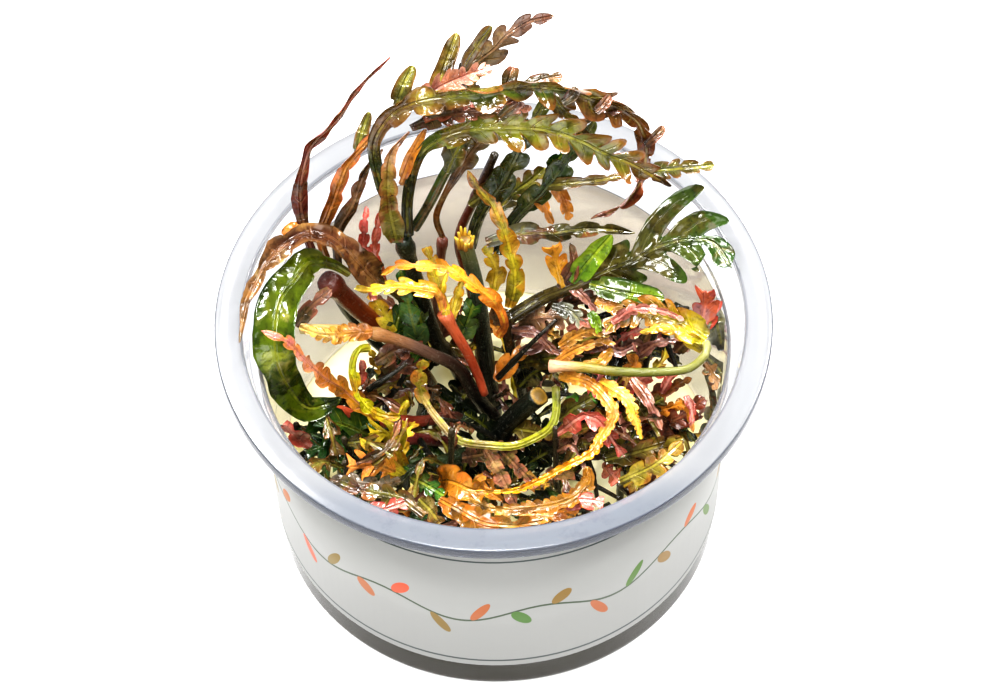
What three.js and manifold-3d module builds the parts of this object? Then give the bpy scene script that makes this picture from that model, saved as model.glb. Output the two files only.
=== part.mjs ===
// A lidless clear plastic cup of young Hygrophila pinnatifida, rooted in nutrient gel, in millimetres, +Z up.
// The origin is the middle of the cup's foot. The plants' long leaves arch over the rim at the back.
import * as THREE from 'three';
import { mergeVertices } from 'three/addons/utils/BufferGeometryUtils.js';
import Module from 'manifold-3d';

// Driving dimensions of the cup, its label and the gel.
const RIM_RADIUS = 50;
const CUP_HEIGHT = 60;
const LIP_RADIUS = 45.1;
const WALL_RADIUS_AT_FOOT = 41.07;
const WALL_DRAFT = THREE.MathUtils.degToRad(2);
const WALL = 0.8;
const FLOOR = 0.9;
const FOOT_CORNER = 3;
const SEAT_HEIGHT = 52;
const SEAT_RISE = 1.2;
const SEAT_RADIUS = 44.6;
const FLANGE_THICKNESS = 1.6;
const SKIRT_DROP = 0.8;
const SKIRT_THICKNESS = 0.9;
const EDGE = 0.5;
const LABEL_BOTTOM = 7.75;
const LABEL_TOP = 48.9;
const LABEL_THICKNESS = 0.35;
const GEL_LEVEL = 12.5;
const GAP = 0.3;
const ROUND_SIDES = 32;

// Driving dimensions that stems and leaves share.
const STEM_SIDES = 8;
const STEM_STEP = 7;
const JOINT_SWELL = 0.3;
const JOINT_SPREAD = 1.6;
const RIB_THICKNESS = 0.9;
const EDGE_THICKNESS = 0.5;
const STALK_WIDTH = 1.3;
const SINUS = 0.42;
const TIP_WIDTH = 0.7;
const LOBE_LEAN = 0.55;
const LOBE_WIDEST = 0.45;
const LOBE_FALL = 0.9;
const LOBE_PLACE = 0.45;
const MIN_OVERLAP = 1e-6;

// Directions that a leaf's upper face can look to.
const SKY = [0, -0.3, 1];
const FRONT = [0, -1, 0.15];
const HALF = [0, -0.6, 0.8];
const LEFT = [-1, -0.4, 0.2];
const RIGHT = [1, -0.4, 0.2];

const wasm = await Module();
wasm.setup();

// A closed geometry as a solid that can be cut.
function toSolid(geometry) {
  const bare = geometry.clone();
  bare.deleteAttribute('normal');
  bare.deleteAttribute('uv');
  const merged = mergeVertices(bare, 1e-4);
  const corners = merged.index.array;
  const kept = [];
  for (let i = 0; i < corners.length; i += 3) {
    const [a, b, c] = [corners[i], corners[i + 1], corners[i + 2]];
    if (a !== b && b !== c && c !== a) kept.push(a, b, c);
  }
  return new wasm.Manifold(new wasm.Mesh({
    numProp: 3,
    vertProperties: merged.attributes.position.array,
    triVerts: new Uint32Array(kept),
  }));
}

// A cut solid as a geometry again.
function toGeometry(solid) {
  const mesh = solid.getMesh();
  const geometry = new THREE.BufferGeometry();
  geometry.setAttribute('position', new THREE.BufferAttribute(mesh.vertProperties, 3));
  geometry.setIndex(new THREE.BufferAttribute(mesh.triVerts, 1));
  geometry.computeVertexNormals();
  return geometry;
}

// A smooth curve through the points of a route.
function curveThrough(route) {
  const points = route.map(([x, y, z]) => new THREE.Vector3(x, y, z));
  return new THREE.CatmullRomCurve3(points, false, 'centripetal');
}

// Bends a geometry that stands on the Y axis along a curve: its +Z side looks to face, and turns by turn.
function bendAlong(geometry, curve, face, turn = 0) {
  const length = curve.getLength();
  const place = geometry.attributes.position;
  const look = new THREE.Vector3(...face).normalize();
  const point = new THREE.Vector3();
  for (let i = 0; i < place.count; i++) {
    point.fromBufferAttribute(place, i);
    const share = THREE.MathUtils.clamp(point.y / length, 0, 1);
    const tangent = curve.getTangentAt(share);
    const normal = look.clone().addScaledVector(tangent, -look.dot(tangent)).normalize();
    normal.applyAxisAngle(tangent, turn * share);
    const side = new THREE.Vector3().crossVectors(tangent, normal);
    const bent = curve.getPointAt(share).addScaledVector(tangent, point.y - share * length);
    bent.addScaledVector(side, point.x).addScaledVector(normal, point.z);
    place.setXYZ(i, bent.x, bent.y, bent.z);
  }
  return geometry;
}

// A round stem with swollen joints, its radius running from one end to the other.
function stemShape({ route, from, to, joints = [], face = FRONT }, grow = 0) {
  const curve = curveThrough(route);
  const length = curve.getLength();
  const steps = Math.max(2, Math.round(length / STEM_STEP));
  const heights = new Set([0, length]);
  for (let i = 1; i < steps; i++) heights.add(length * i / steps);
  for (const joint of joints) heights.add(length * joint);
  const radius = (height) => {
    let swell = 1;
    for (const joint of joints) {
      swell += JOINT_SWELL * Math.exp(-(((height - length * joint) / JOINT_SPREAD) ** 2));
    }
    return THREE.MathUtils.lerp(from, to, height / length) / 2 * swell + grow;
  };
  const profile = [...heights].sort((a, b) => a - b).map((h) => new THREE.Vector2(radius(h), h));
  profile[0].y -= grow;
  profile.at(-1).y += grow;
  profile.unshift(new THREE.Vector2(0, -grow));
  profile.push(new THREE.Vector2(0, length + grow));
  return bendAlong(new THREE.LatheGeometry(profile, STEM_SIDES), curve, face);
}

// The places along a leaf where its half width is given: the stalk, then a lobe and a notch by turns, then the tip.
function leafStations({ width, lobes, stalk, stalkSteps, stalkWidth, taper }) {
  const stations = [];
  for (let i = 0; i <= stalkSteps; i++) {
    stations.push({ at: stalk * i / stalkSteps, half: stalkWidth / 2, lean: 0 });
  }
  for (let i = 0; i < lobes; i++) {
    const share = (i + 0.5) / lobes;
    const reach = width / 2 * (1 - LOBE_FALL * (share - LOBE_WIDEST) ** 2) * (1 - taper * share);
    stations.push({ at: stalk + (1 - stalk) * (i + LOBE_PLACE) / lobes, half: reach, lean: reach * LOBE_LEAN });
    if (i < lobes - 1) {
      stations.push({ at: stalk + (1 - stalk) * (i + 1) / lobes, half: reach * SINUS, lean: 0 });
    }
  }
  stations.push({ at: 1, half: TIP_WIDTH / 2, lean: 0 });
  return stations;
}

// A lobed leaf: a thin box whose rows widen and narrow, creased along its rib and bent along its route.
function leafShape(leaf, grow = 0) {
  const { route, face = HALF, turn = 0, crease = 0.25 } = leaf;
  const full = { width: 4, lobes: 3, stalk: 0.15, stalkSteps: 1, stalkWidth: STALK_WIDTH, taper: 0, ...leaf };
  const curve = curveThrough(route);
  const length = curve.getLength();
  const stations = leafStations(full);
  const rows = stations.length - 1;
  const blade = new THREE.BoxGeometry(2, 1, 2, 2, rows, 1);
  const place = blade.attributes.position;
  for (let i = 0; i < place.count; i++) {
    const side = place.getX(i);
    const row = Math.round((place.getY(i) + 0.5) * rows);
    const { at, half, lean } = stations[row];
    const end = row === 0 ? -grow : row === rows ? grow : 0;
    const thickness = side === 0 ? RIB_THICKNESS : EDGE_THICKNESS;
    const lift = Math.abs(side) * half * crease;
    place.setXYZ(i, side * (half + grow), at * length + Math.abs(side) * lean + end,
      place.getZ(i) * (thickness / 2 + grow) + lift);
  }
  return bendAlong(blade, curve, face, turn);
}

// The cup's outer wall radius at a height, and the wall's inner radius.
const wallOutside = (z) => WALL_RADIUS_AT_FOOT + z * Math.tan(WALL_DRAFT);
const wallInside = (z) => wallOutside(z) - WALL;

// Points of a quarter round from the flat foot or floor up into the wall.
function cornerPoints(outerRadius, bottom, radius, steps) {
  const points = [];
  for (let i = 0; i <= steps; i++) {
    const angle = -Math.PI / 2 + Math.PI / 2 * i / steps;
    points.push([outerRadius - radius + radius * Math.cos(angle), bottom + radius + radius * Math.sin(angle)]);
  }
  return points;
}

function revolved(points) {
  return new THREE.LatheGeometry(points.map(([r, z]) => new THREE.Vector2(r, z)), ROUND_SIDES).rotateX(Math.PI / 2);
}

function cupShape() {
  const under = CUP_HEIGHT - FLANGE_THICKNESS;
  const innerCorner = FOOT_CORNER - WALL;
  const seat = SEAT_HEIGHT + SEAT_RISE;
  return revolved([
    [0, 0],
    ...cornerPoints(wallOutside(FOOT_CORNER), 0, FOOT_CORNER, 4),
    [wallOutside(SEAT_HEIGHT), SEAT_HEIGHT],
    [SEAT_RADIUS, seat],
    [LIP_RADIUS + WALL, under],
    [RIM_RADIUS - SKIRT_THICKNESS, under],
    [RIM_RADIUS - SKIRT_THICKNESS, under - SKIRT_DROP],
    [RIM_RADIUS, under - SKIRT_DROP],
    [RIM_RADIUS, CUP_HEIGHT - EDGE],
    [RIM_RADIUS - EDGE, CUP_HEIGHT],
    [LIP_RADIUS + EDGE, CUP_HEIGHT],
    [LIP_RADIUS, CUP_HEIGHT - EDGE],
    [SEAT_RADIUS - WALL, seat + WALL],
    [wallInside(SEAT_HEIGHT), SEAT_HEIGHT + WALL],
    ...cornerPoints(wallInside(FOOT_CORNER), FLOOR, innerCorner, 3).reverse(),
    [0, FLOOR],
  ]);
}

function labelShape() {
  const inside = (z) => wallOutside(z) + GAP;
  return revolved([
    [inside(LABEL_BOTTOM), LABEL_BOTTOM],
    [inside(LABEL_BOTTOM) + LABEL_THICKNESS, LABEL_BOTTOM],
    [inside(LABEL_TOP) + LABEL_THICKNESS, LABEL_TOP],
    [inside(LABEL_TOP), LABEL_TOP],
    [inside(LABEL_BOTTOM), LABEL_BOTTOM],
  ]);
}

function gelShape() {
  const foot = FLOOR + GAP;
  const corner = FOOT_CORNER - WALL;
  return revolved([
    [0, foot],
    ...cornerPoints(wallInside(foot + corner) - GAP, foot, corner, 2),
    [wallInside(GEL_LEVEL) - GAP, GEL_LEVEL],
    [0, GEL_LEVEL],
  ]);
}

// Colours of the plastic, paper, gel, stems and leaves.
const CLEAR = { color: 0xeef0f6, roughness: 0.08, transparent: true, opacity: 0.35 };
const PAPER = { color: 0xe4e6e6, roughness: 0.55 };
const GEL = { color: 0xcdbf93, roughness: 0.2, transparent: true, opacity: 0.7 };
const BLACK_GREEN = { color: 0x20241a, roughness: 0.35 };
const DARK_GREEN = { color: 0x33401f, roughness: 0.35 };
const RED_BROWN = { color: 0x6a2c14, roughness: 0.4 };
const SALMON = { color: 0xd8603c, roughness: 0.45 };
const MAUVE = { color: 0x6b4a3c, roughness: 0.4 };
const PALE_GREEN = { color: 0xb4bc5a, roughness: 0.4 };
const GREEN = { color: 0x3f7a1e, roughness: 0.3 };
const OLIVE = { color: 0x5d6026, roughness: 0.4 };
const YELLOW = { color: 0xd8b428, roughness: 0.45 };
const ORANGE = { color: 0xd0802a, roughness: 0.45 };
const PINK = { color: 0xd88a70, roughness: 0.45 };
const BROWN = { color: 0x7a4a34, roughness: 0.45 };

const part = new THREE.Group();

// Adds one named mesh.
function add(name, geometry, finish) {
  const mesh = new THREE.Mesh(geometry, new THREE.MeshStandardMaterial({ metalness: 0, ...finish }));
  mesh.name = name;
  part.add(mesh);
}

// Stems, from the gel up: each route starts at its rooted or lower end. Diameters are at its two ends.
const STEMS = {
  stem_cut_centre: {
    route: [[0, 12, 4], [-1, 13, 20], [-2, 14, 35], [-3, 15, 49], [-5, 16, 62]],
    from: 3.4, to: 2.7, finish: BLACK_GREEN,
  },
  stem_crown: {
    route: [[-4, 17, 4], [-7, 16, 22], [-11, 14, 35], [-13, 15, 45], [-15, 16, 56], [-16, 16, 63]],
    from: 2.8, to: 2.9, joints: [0.95], finish: BLACK_GREEN,
  },
  stem_arching: {
    route: [[1, 5, 4], [0, 6, 18], [-4, 6, 28], [-7, 7, 35], [-12, 6, 41], [-17, 6, 45], [-23, 6, 48], [-35, 5, 51]],
    from: 3, to: 2.2, joints: [0.78], finish: MAUVE,
  },
  stem_thick_cut: {
    route: [[-2, -1, 4], [-1, 0, 12], [1, 1, 22], [4, 1, 28], [8, 0, 35]],
    from: 3.8, to: 4.4, finish: BLACK_GREEN,
  },
  stem_green_front: {
    route: [[-3, -6, 4], [-3, -4, 13], [-4, -3, 21], [-10, -8, 26], [-16, -12, 30]],
    from: 2.6, to: 2.9, joints: [0.95], finish: DARK_GREEN,
  },
  stem_mauve_low: {
    route: [[6, 6, 4], [6, 5, 12], [9, 2, 17], [15, -3, 22], [19, -7, 26]],
    from: 2.4, to: 2.5, joints: [0.93], finish: MAUVE,
  },
  stem_red_low: {
    route: [[-6, 11, 4], [-6, 10, 13], [-9, 7, 19], [-14, 4, 22], [-20, 2, 25], [-26, 2, 27], [-32, 3, 30]],
    from: 2.2, to: 2.4, joints: [0.62], finish: SALMON,
  },
  stem_red_brown: {
    route: [[-10, 19, 4], [-14, 14, 24], [-20, 13, 38], [-25, 13, 46], [-30, 12, 56]],
    from: 2.8, to: 3.8, joints: [0.97], finish: RED_BROWN,
  },
  stem_dark_left: {
    route: [[-15, 24, 4], [-18, 21, 18], [-22, 19, 26], [-27, 18, 38], [-29, 17, 46]],
    from: 1.8, to: 2, finish: DARK_GREEN,
  },
  stem_back: {
    route: [[-2, 23, 4], [-4, 24, 36], [-6, 24, 52], [-3, 25, 62], [0, 25, 72]],
    from: 2, to: 2.4, joints: [0.84], finish: RED_BROWN,
  },
  stem_brown_thin: {
    route: [[-9, 27, 4], [-11, 23, 34], [-10, 22, 43], [-9, 23, 53]],
    from: 1.6, to: 1.7, joints: [0.98], finish: BROWN,
  },
  stem_right_inner: {
    route: [[6, 12, 4], [5, 12, 20], [3, 11, 35], [2, 11, 46]],
    from: 2.2, to: 2, joints: [0.97], finish: BLACK_GREEN,
  },
  stem_maroon: {
    route: [[-7, 3, 4], [-8, 3, 15], [-12, 1, 20], [-18, -1, 24]],
    from: 2.2, to: 2.4, joints: [0.95], finish: RED_BROWN,
  },
  stem_salmon: {
    route: [[-2, 5, 29], [-3, 6, 33], [-5, 6, 41], [-7, 6, 47], [-9, 7, 52]],
    from: 1.4, to: 2.1, joints: [0.96], finish: SALMON,
  },
  stem_pale: {
    route: [[10, -4, 50], [15, -5, 51], [22, -7, 52], [30, -8, 53], [35, -8, 54], [38, -6, 56], [38, -4, 56]],
    from: 2.6, to: 2, finish: PALE_GREEN,
  },
};

// Leaves, each from its stalk's foot to its tip. Width is across the widest lobes.
const LEAVES = {
  leaf_arch_upper: {
    route: [[-17, 17, 63], [-18, 18, 70], [-20, 19, 80], [-20, 20, 88], [-16, 22, 93], [-10, 22, 96], [-1, 21, 98],
      [9, 23, 97], [18, 24, 92], [25, 25, 86], [28, 24, 79], [27, 21, 72], [23, 18, 68], [18, 17, 66]],
    width: 6, lobes: 7, stalk: 0.28, stalkSteps: 3, stalkWidth: 2, face: FRONT, finish: OLIVE,
  },
  leaf_arch_lower: {
    route: [[-15, 16, 64], [-15, 18, 70], [-14, 19, 77], [-12, 20, 83], [-8, 20, 87], [-3, 20, 89], [5, 20, 89],
      [13, 20, 87], [20, 18, 84], [27, 17, 80], [32, 16, 76]],
    width: 7, lobes: 6, stalk: 0.3, stalkSteps: 3, stalkWidth: 1.8, taper: 0.2, face: [0, -0.9, 0.5], finish: OLIVE,
  },
  leaf_plume: {
    route: [[-14, 18, 63], [-11, 20, 68], [-8, 23, 73], [-5, 24, 78], [-3, 26, 83], [-3, 28, 88], [-3, 31, 92],
      [1, 33, 95], [4, 34, 98], [8, 36, 99], [12, 36, 100]],
    width: 12, lobes: 5, stalk: 0.5, stalkSteps: 4, stalkWidth: 1.8, taper: 0.65, face: FRONT, finish: BROWN,
  },
  leaf_folded: {
    route: [[-17, 14, 65], [-18, 15, 73], [-18, 15, 81], [-17, 16, 88], [-14, 18, 91]],
    width: 3.6, lobes: 3, stalk: 0.2, face: FRONT, finish: OLIVE,
  },
  leaf_left_tall: {
    route: [[-32, 15, 58], [-34, 19, 64], [-34, 21, 74], [-32, 24, 80], [-27, 25, 86], [-23, 27, 92], [-17, 30, 97]],
    width: 4.6, lobes: 5, stalk: 0.25, stalkSteps: 2, taper: 0.4, face: [0.3, -1, 0], finish: BROWN,
  },
  leaf_left_middle: {
    route: [[-30, 15, 59], [-31, 17, 62], [-29, 19, 68], [-27, 20, 74], [-25, 21, 79], [-21, 23, 83], [-18, 24, 87]],
    width: 4.4, lobes: 4, stalk: 0.3, stalkSteps: 2, face: FRONT, finish: ORANGE,
  },
  leaf_left_short: {
    route: [[-28, 15, 56], [-28, 19, 61], [-25, 20, 68], [-23, 22, 73], [-21, 22, 78], [-19, 23, 80]],
    width: 4, lobes: 3, stalk: 0.3, face: FRONT, finish: BROWN,
  },
  leaf_green_curl: {
    route: [[-26, 12, 58], [-29, 12, 61], [-33, 11, 63], [-35, 8, 63], [-38, 3, 63], [-39, -2, 61], [-39, -6, 57],
      [-37, -7, 49], [-34, -7, 43], [-31, -5, 41], [-28, -5, 43]],
    width: 8, lobes: 4, stalk: 0.12, face: [0.2, -0.7, 0.8], finish: GREEN,
  },
  leaf_brown_over: {
    route: [[-16, 14, 46], [-19, 14, 50], [-22, 13, 55], [-25, 13, 61], [-29, 14, 66], [-34, 13, 68], [-39, 9, 68],
      [-42, 3, 68], [-44, -3, 67], [-45, -8, 65]],
    width: 5, lobes: 5, stalk: 0.3, stalkSteps: 2, taper: 0.4, face: SKY, finish: BROWN,
  },
  leaf_twisted: {
    route: [[3, 12, 47], [4, 13, 52], [4, 14, 56], [3, 15, 61], [2, 16, 66], [0, 18, 70], [-2, 19, 73], [-4, 20, 77]],
    width: 7, lobes: 4, stalk: 0.12, face: FRONT, turn: 0.4, finish: YELLOW,
  },
  leaf_yellow_long: {
    route: [[1, 9, 42], [2, 8, 47], [0, 9, 53], [-4, 10, 57], [-8, 11, 60], [-13, 11, 61], [-17, 11, 61], [-20, 10, 60]],
    width: 4.2, lobes: 4, stalk: 0.3, stalkSteps: 2, finish: YELLOW,
  },
  leaf_yellow_short: {
    route: [[-9, 7, 53], [-10, 8, 57], [-12, 8, 58], [-17, 9, 58], [-22, 9, 57], [-25, 10, 56]],
    width: 4, lobes: 3, stalk: 0.25, finish: YELLOW,
  },
  leaf_green_small: {
    route: [[-13, 11, 34], [-14, 11, 38], [-15, 12, 44], [-16, 13, 52]],
    width: 4, lobes: 2, face: FRONT, finish: GREEN,
  },
  leaf_orange_fork: {
    route: [[13, 12, 52], [12, 14, 56], [11, 15, 61]],
    width: 4, lobes: 2, face: FRONT, finish: ORANGE,
  },
  leaf_across: {
    route: [[-1, 19, 57], [5, 20, 58], [11, 20, 58], [18, 20, 59], [26, 18, 60]],
    width: 3.6, lobes: 3, stalk: 0.2, finish: OLIVE,
  },
  leaf_back_left: {
    route: [[-4, 22, 52], [-2, 22, 62], [3, 23, 72], [7, 25, 82], [11, 28, 88]],
    width: 4.2, lobes: 3, stalk: 0.35, stalkSteps: 2, face: FRONT, finish: DARK_GREEN,
  },
  leaf_back_right: {
    route: [[4, 22, 60], [10, 23, 68], [15, 25, 76], [19, 28, 81]],
    width: 4.4, lobes: 3, stalk: 0.3, face: FRONT, finish: DARK_GREEN,
  },
  leaf_right_big: {
    route: [[3, 10, 46], [9, 12, 49], [14, 12, 52], [20, 13, 55], [25, 13, 58], [30, 14, 61], [36, 14, 63],
      [40, 13, 63], [43, 8, 62]],
    width: 16, lobes: 5, stalk: 0.3, stalkSteps: 2, stalkWidth: 2.4, taper: 0.55, face: SKY, finish: DARK_GREEN,
  },
  leaf_fan: {
    route: [[38, -3, 56], [36, -2, 57], [32, 0, 58], [26, 2, 58], [22, 1, 57], [20, -1, 56]],
    width: 7, lobes: 4, stalk: 0.05, finish: YELLOW,
  },
  leaf_pink_fork: {
    route: [[37, 1, 53], [38, 3, 57], [38, 4, 61]],
    width: 4.4, lobes: 2, face: FRONT, finish: PINK,
  },
  leaf_wall_right: {
    route: [[38, -8, 53], [39, -10, 49], [39, -11, 44], [38, -12, 38]],
    width: 2.8, lobes: 2, face: LEFT, finish: OLIVE,
  },
  leaf_brown_right: {
    route: [[38, -6, 52], [39, -9, 53], [40, -13, 54]],
    width: 3, lobes: 2, finish: BROWN,
  },
  leaf_tangle: {
    route: [[5, 11, 43], [9, 10, 46], [15, 9, 46], [18, 7, 44]],
    width: 4.4, lobes: 3, finish: BROWN,
  },
  leaf_pink_feather: {
    route: [[-22, 1, 28], [-25, 1, 32], [-28, 1, 37], [-31, -2, 45], [-34, -5, 55], [-37, -7, 64], [-41, -7, 67]],
    width: 4.4, lobes: 5, stalk: 0.1, face: [0.3, -1, 0.6], finish: PINK,
  },
  leaf_yellow_curl: {
    route: [[-23, 4, 46], [-25, 2, 48], [-26, -1, 46], [-25, -4, 42], [-22, -5, 38], [-18, -5, 37], [-16, -3, 39]],
    width: 2.2, lobes: 3, stalk: 0.5, stalkSteps: 3, face: RIGHT, finish: YELLOW,
  },
  leaf_loop: {
    route: [[11, -3, 42], [11, -7, 40], [10, -9, 38], [7, -10, 36], [3, -11, 35], [-1, -10, 34], [-7, -8, 33],
      [-10, -5, 34], [-13, -1, 36], [-14, 0, 40], [-13, 1, 46]],
    width: 3, lobes: 2, stalk: 0.75, stalkSteps: 7, finish: PALE_GREEN,
  },
  leaf_green_left: {
    route: [[-22, -2, 28], [-29, -7, 32], [-35, -11, 35]],
    width: 10, lobes: 3, stalk: 0.1, face: SKY, finish: DARK_GREEN,
  },
  leaf_silver: {
    route: [[-18, -20, 38], [-21, -23, 41], [-26, -24, 44], [-30, -24, 45]],
    width: 4, lobes: 3, finish: BROWN,
  },
  leaf_rim_left: {
    route: [[-13, -35, 49], [-17, -32, 50], [-23, -30, 50], [-28, -28, 50]],
    width: 4, lobes: 3, finish: OLIVE,
  },
  leaf_orange_crumpled: {
    route: [[-10, -19, 36], [-8, -22, 40], [-5, -25, 42], [-2, -26, 42]],
    width: 5.5, lobes: 3, finish: ORANGE,
  },
  leaf_orange_wide: {
    route: [[-8, -30, 44], [-3, -34, 45], [2, -35, 45], [9, -34, 45]],
    width: 5, lobes: 3, finish: ORANGE,
  },
  leaf_frilled: {
    route: [[12, -4, 47], [17, -8, 50], [20, -12, 50], [21, -14, 49], [19, -17, 47], [17, -20, 46], [13, -22, 45],
      [8, -25, 45], [3, -28, 46], [-4, -28, 46]],
    width: 3.2, lobes: 6, stalk: 0.12, finish: ORANGE,
  },
  leaf_frilled_small: {
    route: [[19, -7, 49], [23, -11, 50], [25, -14, 48], [26, -17, 45]],
    width: 2.8, lobes: 3, finish: YELLOW,
  },
  leaf_strand: {
    route: [[16, -24, 46], [16, -28, 48], [12, -33, 50], [6, -35, 51], [-1, -35, 51], [-6, -32, 50]],
    width: 3.2, lobes: 4, finish: ORANGE,
  },
  leaf_rosette_left: {
    route: [[-17, -13, 31], [-19, -12, 36], [-20, -11, 40], [-23, -13, 43]],
    width: 4, lobes: 3, finish: YELLOW,
  },
  leaf_rosette_low: {
    route: [[-17, -14, 30], [-21, -16, 37], [-27, -20, 43]],
    width: 4, lobes: 3, finish: ORANGE,
  },
  leaf_rosette_spike: {
    route: [[-15, -15, 30], [-16, -19, 34], [-15, -27, 38]],
    width: 2.2, lobes: 2, finish: YELLOW,
  },
  leaf_olive_right: {
    route: [[20, -9, 28], [26, -13, 35], [33, -17, 42]],
    width: 6, lobes: 3, finish: OLIVE,
  },
  leaf_red_pinnate: {
    route: [[27, -7, 34], [33, -8, 38], [38, -6, 42]],
    width: 5, lobes: 3, finish: BROWN,
  },
  leaf_low_fork: {
    route: [[20, -9, 25], [21, -15, 31], [22, -20, 36]],
    width: 4, lobes: 2, finish: PINK,
  },
  leaf_rim_right: {
    route: [[22, -24, 42], [29, -24, 48], [33, -21, 50]],
    width: 4, lobes: 3, finish: OLIVE,
  },
  leaf_thin_curve: {
    route: [[-9, 23, 54], [-10, 23, 60], [-8, 24, 66], [-4, 27, 72], [-1, 28, 76], [3, 28, 78]],
    width: 3, lobes: 2, stalk: 0.6, stalkSteps: 4, face: FRONT, finish: BROWN,
  },
};

// Side leaves that grow from a stem and are one piece with it: they fill the middle of the cup.
const SIDE_LEAVES = {
  stem_right_inner: [
    [[4, 11, 30], [12, 8, 36], [21, 5, 40], [28, 3, 42]],
    [[3, 11, 38], [10, 12, 44], [19, 12, 49], [25, 11, 52]],
    [[4, 12, 26], [11, 12, 32], [19, 12, 37], [27, 11, 42]],
  ],
  stem_mauve_low: [
    [[14, -2, 21], [21, 0, 28], [28, 0, 34], [34, -1, 39]],
    [[11, 1, 18], [18, 4, 25], [25, 5, 31], [32, 5, 36]],
    [[18, -6, 25], [25, -11, 30], [31, -16, 35]],
    [[15, -3, 22], [14, -7, 27], [11, -9, 33]],
  ],
  stem_thick_cut: [
    [[2, 1, 24], [8, -4, 29], [14, -7, 34], [20, -9, 38]],
  ],
  stem_green_front: [
    [[-7, -6, 24], [-1, -8, 29], [5, -9, 33]],
    [[-11, -8, 26], [-12, -16, 31], [-12, -24, 36]],
  ],
  stem_maroon: [
    [[-11, 2, 18], [-16, -4, 22], [-23, -11, 27], [-29, -15, 31]],
  ],
  stem_red_low: [
    [[-17, 3, 23], [-20, 9, 28], [-23, 13, 33]],
  ],
  stem_crown: [
    [[-9, 15, 29], [-14, 11, 34], [-20, 9, 40]],
  ],
};
const SIDE_LEAF_WIDTH = 5;

// Each solid takes a little room around it, and what comes later is cut back to leave that room free.
const taken = [];
const grownStems = [];

function overlaps(a, b) {
  return a.intersect(b).volume() > MIN_OVERLAP;
}

// Cuts a solid back from all that stand already, and keeps its largest body.
function fitted(solid) {
  let left = solid;
  for (const room of taken) {
    if (overlaps(left, room)) left = left.subtract(room);
  }
  const bodies = left.decompose().sort((a, b) => b.volume() - a.volume());
  return bodies[0];
}

const placed = {};
const rooms = {};

for (const [name, stem] of Object.entries(STEMS)) {
  placed[name] = fitted(toSolid(stemShape(stem)));
  rooms[name] = toSolid(stemShape(stem, GAP));
  taken.push(rooms[name]);
  grownStems.push(rooms[name]);
}

for (const [name, leaf] of Object.entries(LEAVES)) {
  placed[name] = fitted(toSolid(leafShape(leaf)));
  taken.push(toSolid(leafShape(leaf, GAP)));
}

// A side leaf is cut back from all but its own stem, and the part that stays on the stem is joined to it.
for (const [name, routes] of Object.entries(SIDE_LEAVES)) {
  for (const route of routes) {
    const leaf = { route, width: SIDE_LEAF_WIDTH, lobes: 2 };
    let left = toSolid(leafShape(leaf));
    for (const room of taken) {
      if (room !== rooms[name] && overlaps(left, room)) left = left.subtract(room);
    }
    const grown = left.decompose().filter((body) => overlaps(body, placed[name]));
    for (const body of grown) placed[name] = placed[name].add(body);
    taken.push(toSolid(leafShape(leaf, GAP)));
  }
}

for (const [name, solid] of Object.entries(placed)) {
  add(name, toGeometry(solid), (STEMS[name] ?? LEAVES[name]).finish);
}

add('cup', cupShape(), CLEAR);
add('label', labelShape(), PAPER);
add('gel', toGeometry(grownStems.reduce((gel, stem) => gel.subtract(stem), toSolid(gelShape()))), GEL);

export default part;
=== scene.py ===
"""A lidless tissue-culture cup of young Hygrophila pinnatifida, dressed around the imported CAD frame."""

import itertools
import math
import random
from bisect import bisect_right

import bmesh
import bpy
from mathutils import Matrix, Vector, noise


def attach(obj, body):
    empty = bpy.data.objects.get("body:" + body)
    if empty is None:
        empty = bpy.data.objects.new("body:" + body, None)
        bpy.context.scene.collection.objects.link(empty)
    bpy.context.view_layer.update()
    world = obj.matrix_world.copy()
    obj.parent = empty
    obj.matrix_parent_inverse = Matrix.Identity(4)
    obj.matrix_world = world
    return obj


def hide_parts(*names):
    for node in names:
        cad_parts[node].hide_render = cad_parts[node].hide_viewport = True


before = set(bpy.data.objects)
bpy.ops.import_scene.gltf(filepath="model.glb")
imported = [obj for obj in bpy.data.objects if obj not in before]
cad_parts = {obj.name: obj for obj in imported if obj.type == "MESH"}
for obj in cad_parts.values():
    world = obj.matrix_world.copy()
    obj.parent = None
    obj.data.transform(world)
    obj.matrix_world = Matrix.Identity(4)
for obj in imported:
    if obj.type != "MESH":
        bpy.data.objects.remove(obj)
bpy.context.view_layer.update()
MM = 0.001

# Camera
# It stands where the photographer's lens did, about 0.76 m from the cup and well above it. It looks down by
# a little over 54 degrees, with a slight tilt to one side.
EYE_DISTANCE = 0.76473
EYE_ELEVATION = math.radians(56.43)
LOOK_DOWN = math.radians(54.25)
LOOK_ASIDE = math.radians(0.14)
TILT = math.radians(-1.30)
SENSOR_WIDTH = 36
FOCAL_LENGTH = 144

ahead = Vector((math.sin(LOOK_ASIDE) * math.cos(LOOK_DOWN), math.cos(LOOK_ASIDE) * math.cos(LOOK_DOWN),
                -math.sin(LOOK_DOWN)))
level_right = ahead.cross(Vector((0, 0, 1))).normalized()
level_up = level_right.cross(ahead)
eye_right = level_right * math.cos(TILT) + level_up * math.sin(TILT)
eye_up = level_up * math.cos(TILT) - level_right * math.sin(TILT)
camera = bpy.data.objects.new("camera", bpy.data.cameras.new("camera"))
camera.data.sensor_width = SENSOR_WIDTH
camera.data.lens = FOCAL_LENGTH
turned = Matrix((eye_right, eye_up, -ahead)).transposed().to_4x4()
eye = Vector((0, -EYE_DISTANCE * math.cos(EYE_ELEVATION), EYE_DISTANCE * math.sin(EYE_ELEVATION)))
camera.matrix_world = Matrix.Translation(eye) @ turned
bpy.context.collection.objects.link(camera)
bpy.context.scene.camera = camera

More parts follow.
